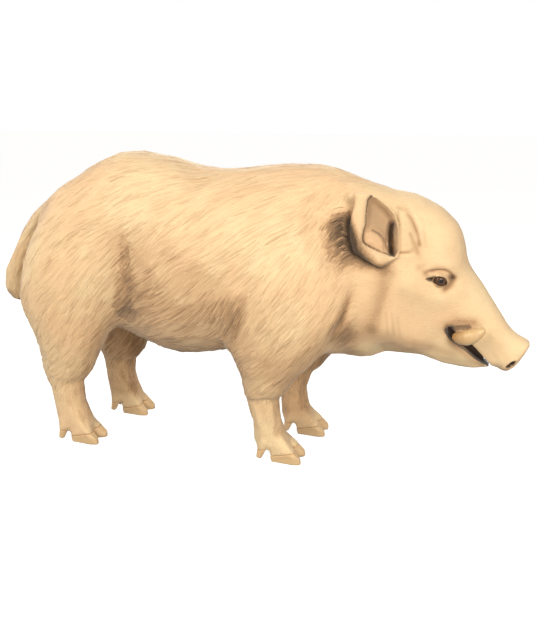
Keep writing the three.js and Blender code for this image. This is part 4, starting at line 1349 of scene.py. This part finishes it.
def stage():
    world = bpy.data.worlds.new("studio")
    bpy.context.scene.world = world
    world.use_nodes = True
    tree = world.node_tree
    tree.nodes.clear()
    soft = add(tree, "ShaderNodeBackground", inputs={"Color": colour("#fffaf2"), "Strength": 0.25})
    white = add(tree, "ShaderNodeBackground", inputs={"Color": colour("#ffffff"), "Strength": 1.0})
    choice = {0: seen_straight(tree), 1: soft.outputs[0], 2: white.outputs[0]}
    mixed = output_of(tree, "ShaderNodeMixShader", inputs=choice)
    add(tree, "ShaderNodeOutputWorld", inputs={"Surface": mixed})

    material, tree = finish("pale_floor")
    matt = add(tree, "ShaderNodeBsdfDiffuse", inputs={"Color": colour("#7a766f")})
    lit = add(tree, "ShaderNodeBsdfDiffuse", inputs={"Color": colour("#b9b9b9")})
    glow = add(tree, "ShaderNodeEmission", inputs={"Color": colour("#ffffff"), "Strength": 0.87})
    bright = add(tree, "ShaderNodeAddShader", inputs={0: lit.outputs[0], 1: glow.outputs[0]})
    choice = {0: seen_straight(tree), 1: matt.outputs[0], 2: bright.outputs[0]}
    mixed = output_of(tree, "ShaderNodeMixShader", inputs=choice)
    add(tree, "ShaderNodeOutputMaterial", inputs={"Surface": mixed})
    half = 30.0
    corners = np.array([(-half, -half, 0), (half, -half, 0), (half, half, 0), (-half, half, 0)], float)
    floor = from_arrays("floor", corners - (0, 0, 0.0004), np.array([[0, 1, 2, 3]]), material, smooth=False)


def aim(thing, place, target):
    thing.location = place
    thing.rotation_euler = (Vector(place) - Vector(target)).to_track_quat("Z", "Y").to_euler()


def lamp(name, place, target, size, watts, tint):
    light = bpy.data.lights.new(name, "AREA")
    light.shape = "DISK"
    light.size = size
    light.energy = watts
    light.color = colour(tint)[:3]
    thing = bpy.data.objects.new(name, light)
    bpy.context.scene.collection.objects.link(thing)
    aim(thing, place, target)


def camera():
    data = bpy.data.cameras.new("camera")
    data.sensor_width = 36.0
    data.lens = 787.0 / 622.0 * 36.0
    thing = bpy.data.objects.new("camera", data)
    bpy.context.scene.collection.objects.link(thing)
    turn, rise, away = math.radians(15), math.radians(14.5), 2.4
    target = np.array([0.0808, -0.0437, 0.446])
    back = np.array([math.sin(turn) * math.cos(rise), -math.cos(turn) * math.cos(rise), math.sin(rise)])
    aim(thing, target + away * back, target)
    bpy.context.scene.camera = thing


# ---------------------------------------------------------------- the boar
skin = make_skin()
skin_points, skin_triangles = mesh_arrays(skin.data)
skin_normals = vertex_normals(skin_points, skin_triangles)
bare, dark = bare_and_dark(skin_points, skin_normals)
skin.data.materials.append(skin_material())
write_attribute(skin.data, "bare", "FLOAT", bare)
write_attribute(skin.data, "dark", "FLOAT", dark)
# the skin carries the same painted shade, and is a little darker off the face
shade = coat_shade(skin_points, skin_triangles)
on_face = smoothstep((skin_points - HEAD_START) @ ALONG / MM, 0, 80)
write_attribute(skin.data, "tone", "FLOAT", np.clip(shade + 0.08 - 0.06 * on_face, 0, 1))
main_way = np.where((skin_points[:, 0] > 0.40)[:, None], -ALONG, np.array([-0.2, 0, -1.0]))
main_across = unit(np.cross(skin_normals, main_way))
across_hairs = (skin_points * main_across).sum(1) / MM / HAIR
along_hairs = (skin_points * main_way).sum(1) / MM / SKIN_HAIR_RUN
strand = np.stack([across_hairs, along_hairs, skin_points[:, 1] / MM / 60.0], 1)
write_attribute(skin.data, "strand", "FLOAT_VECTOR", strand)
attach(skin, "root")
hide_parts(*FLESH, *EARS)

# the strips of the body's coat, each between two places along the model, in metres
STRIPS = [("neck", 0.20, 1.0), ("shoulder", -0.04, 0.20), ("barrel", -0.32, -0.04), ("haunch", -1.0, -0.32)]
hair = coat_material()
thin = np.maximum.reduce([bare, 1.5 * dark, in_fold(skin_points), tight(skin_points, skin_triangles)])
# the tufts carry the painted shade of the skin, and of its dark recesses
coat = Coat(skin_points, skin_triangles, thin, np.maximum(shade, 0.9 * dark))
shares, middles = coat.shares, coat.centres
ears = shares["ear"] > 0.5
tail = ~ears & (shares["tail"] > 0.5)
shanks = ~ears & ~tail & (shares["shank"] > 0.5)
face = ~ears & (shares["cheek"] + shares["snout"] > 0.5)
body = ~(ears | tail | shanks | face)
right = middles[:, 1] < MIDDLE
coat.grow("coat_ears", ears, hair, (0.35, 0.75))
coat.grow("coat_shanks", shanks, hair, (0.35, 0.75))
coat.grow("coat_tail", tail, hair, (0.3, 0.7))
for side in SIDES:
    here = right if side == "right" else ~right
    coat.grow(f"coat_face_{side}", face & here, hair, (0.35, 0.75))
    half = body & here
    for part, low, high in STRIPS:
        strip = half & (middles[:, 0] > low) & (middles[:, 0] <= high)
        coat.grow(f"coat_{part}_{side}", strip, hair, (0.25, 0.55, 0.82))

horn, enamel, glass = horn_material(), ivory_material(), eye_material()
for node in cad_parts:
    if node.startswith("hoof") or node.startswith("dewclaw"):
        refined(f"horn_{node}", node, horn)
for side in SIDES:
    tusk(side, enamel)
    eye(side, glass)

stage()
LAMPLIGHT = "#fff7ea"
lamp("sky_panel", (-1.2, -3.0, 2.5), (0, 0, 0.45), 2.0, 67.5, LAMPLIGHT)
lamp("front_panel", (2.4, -2.9, 2.0), (0.35, 0, 0.5), 1.5, 83, LAMPLIGHT)
lamp("far_panel", (-0.6, 3.0, 2.2), (0, 0, 0.5), 2.2, 60, LAMPLIGHT)
lamp("tail_panel", (-3.2, 0.2, 1.3), (-0.6, 0, 0.5), 1.6, 25, LAMPLIGHT)
lamp("low_panel", (0.9, -3.4, 0.4), (-0.4, 0.1, 0.33), 1.4, 17.4, LAMPLIGHT)
camera()
bpy.context.scene.view_settings.view_transform = "Standard"
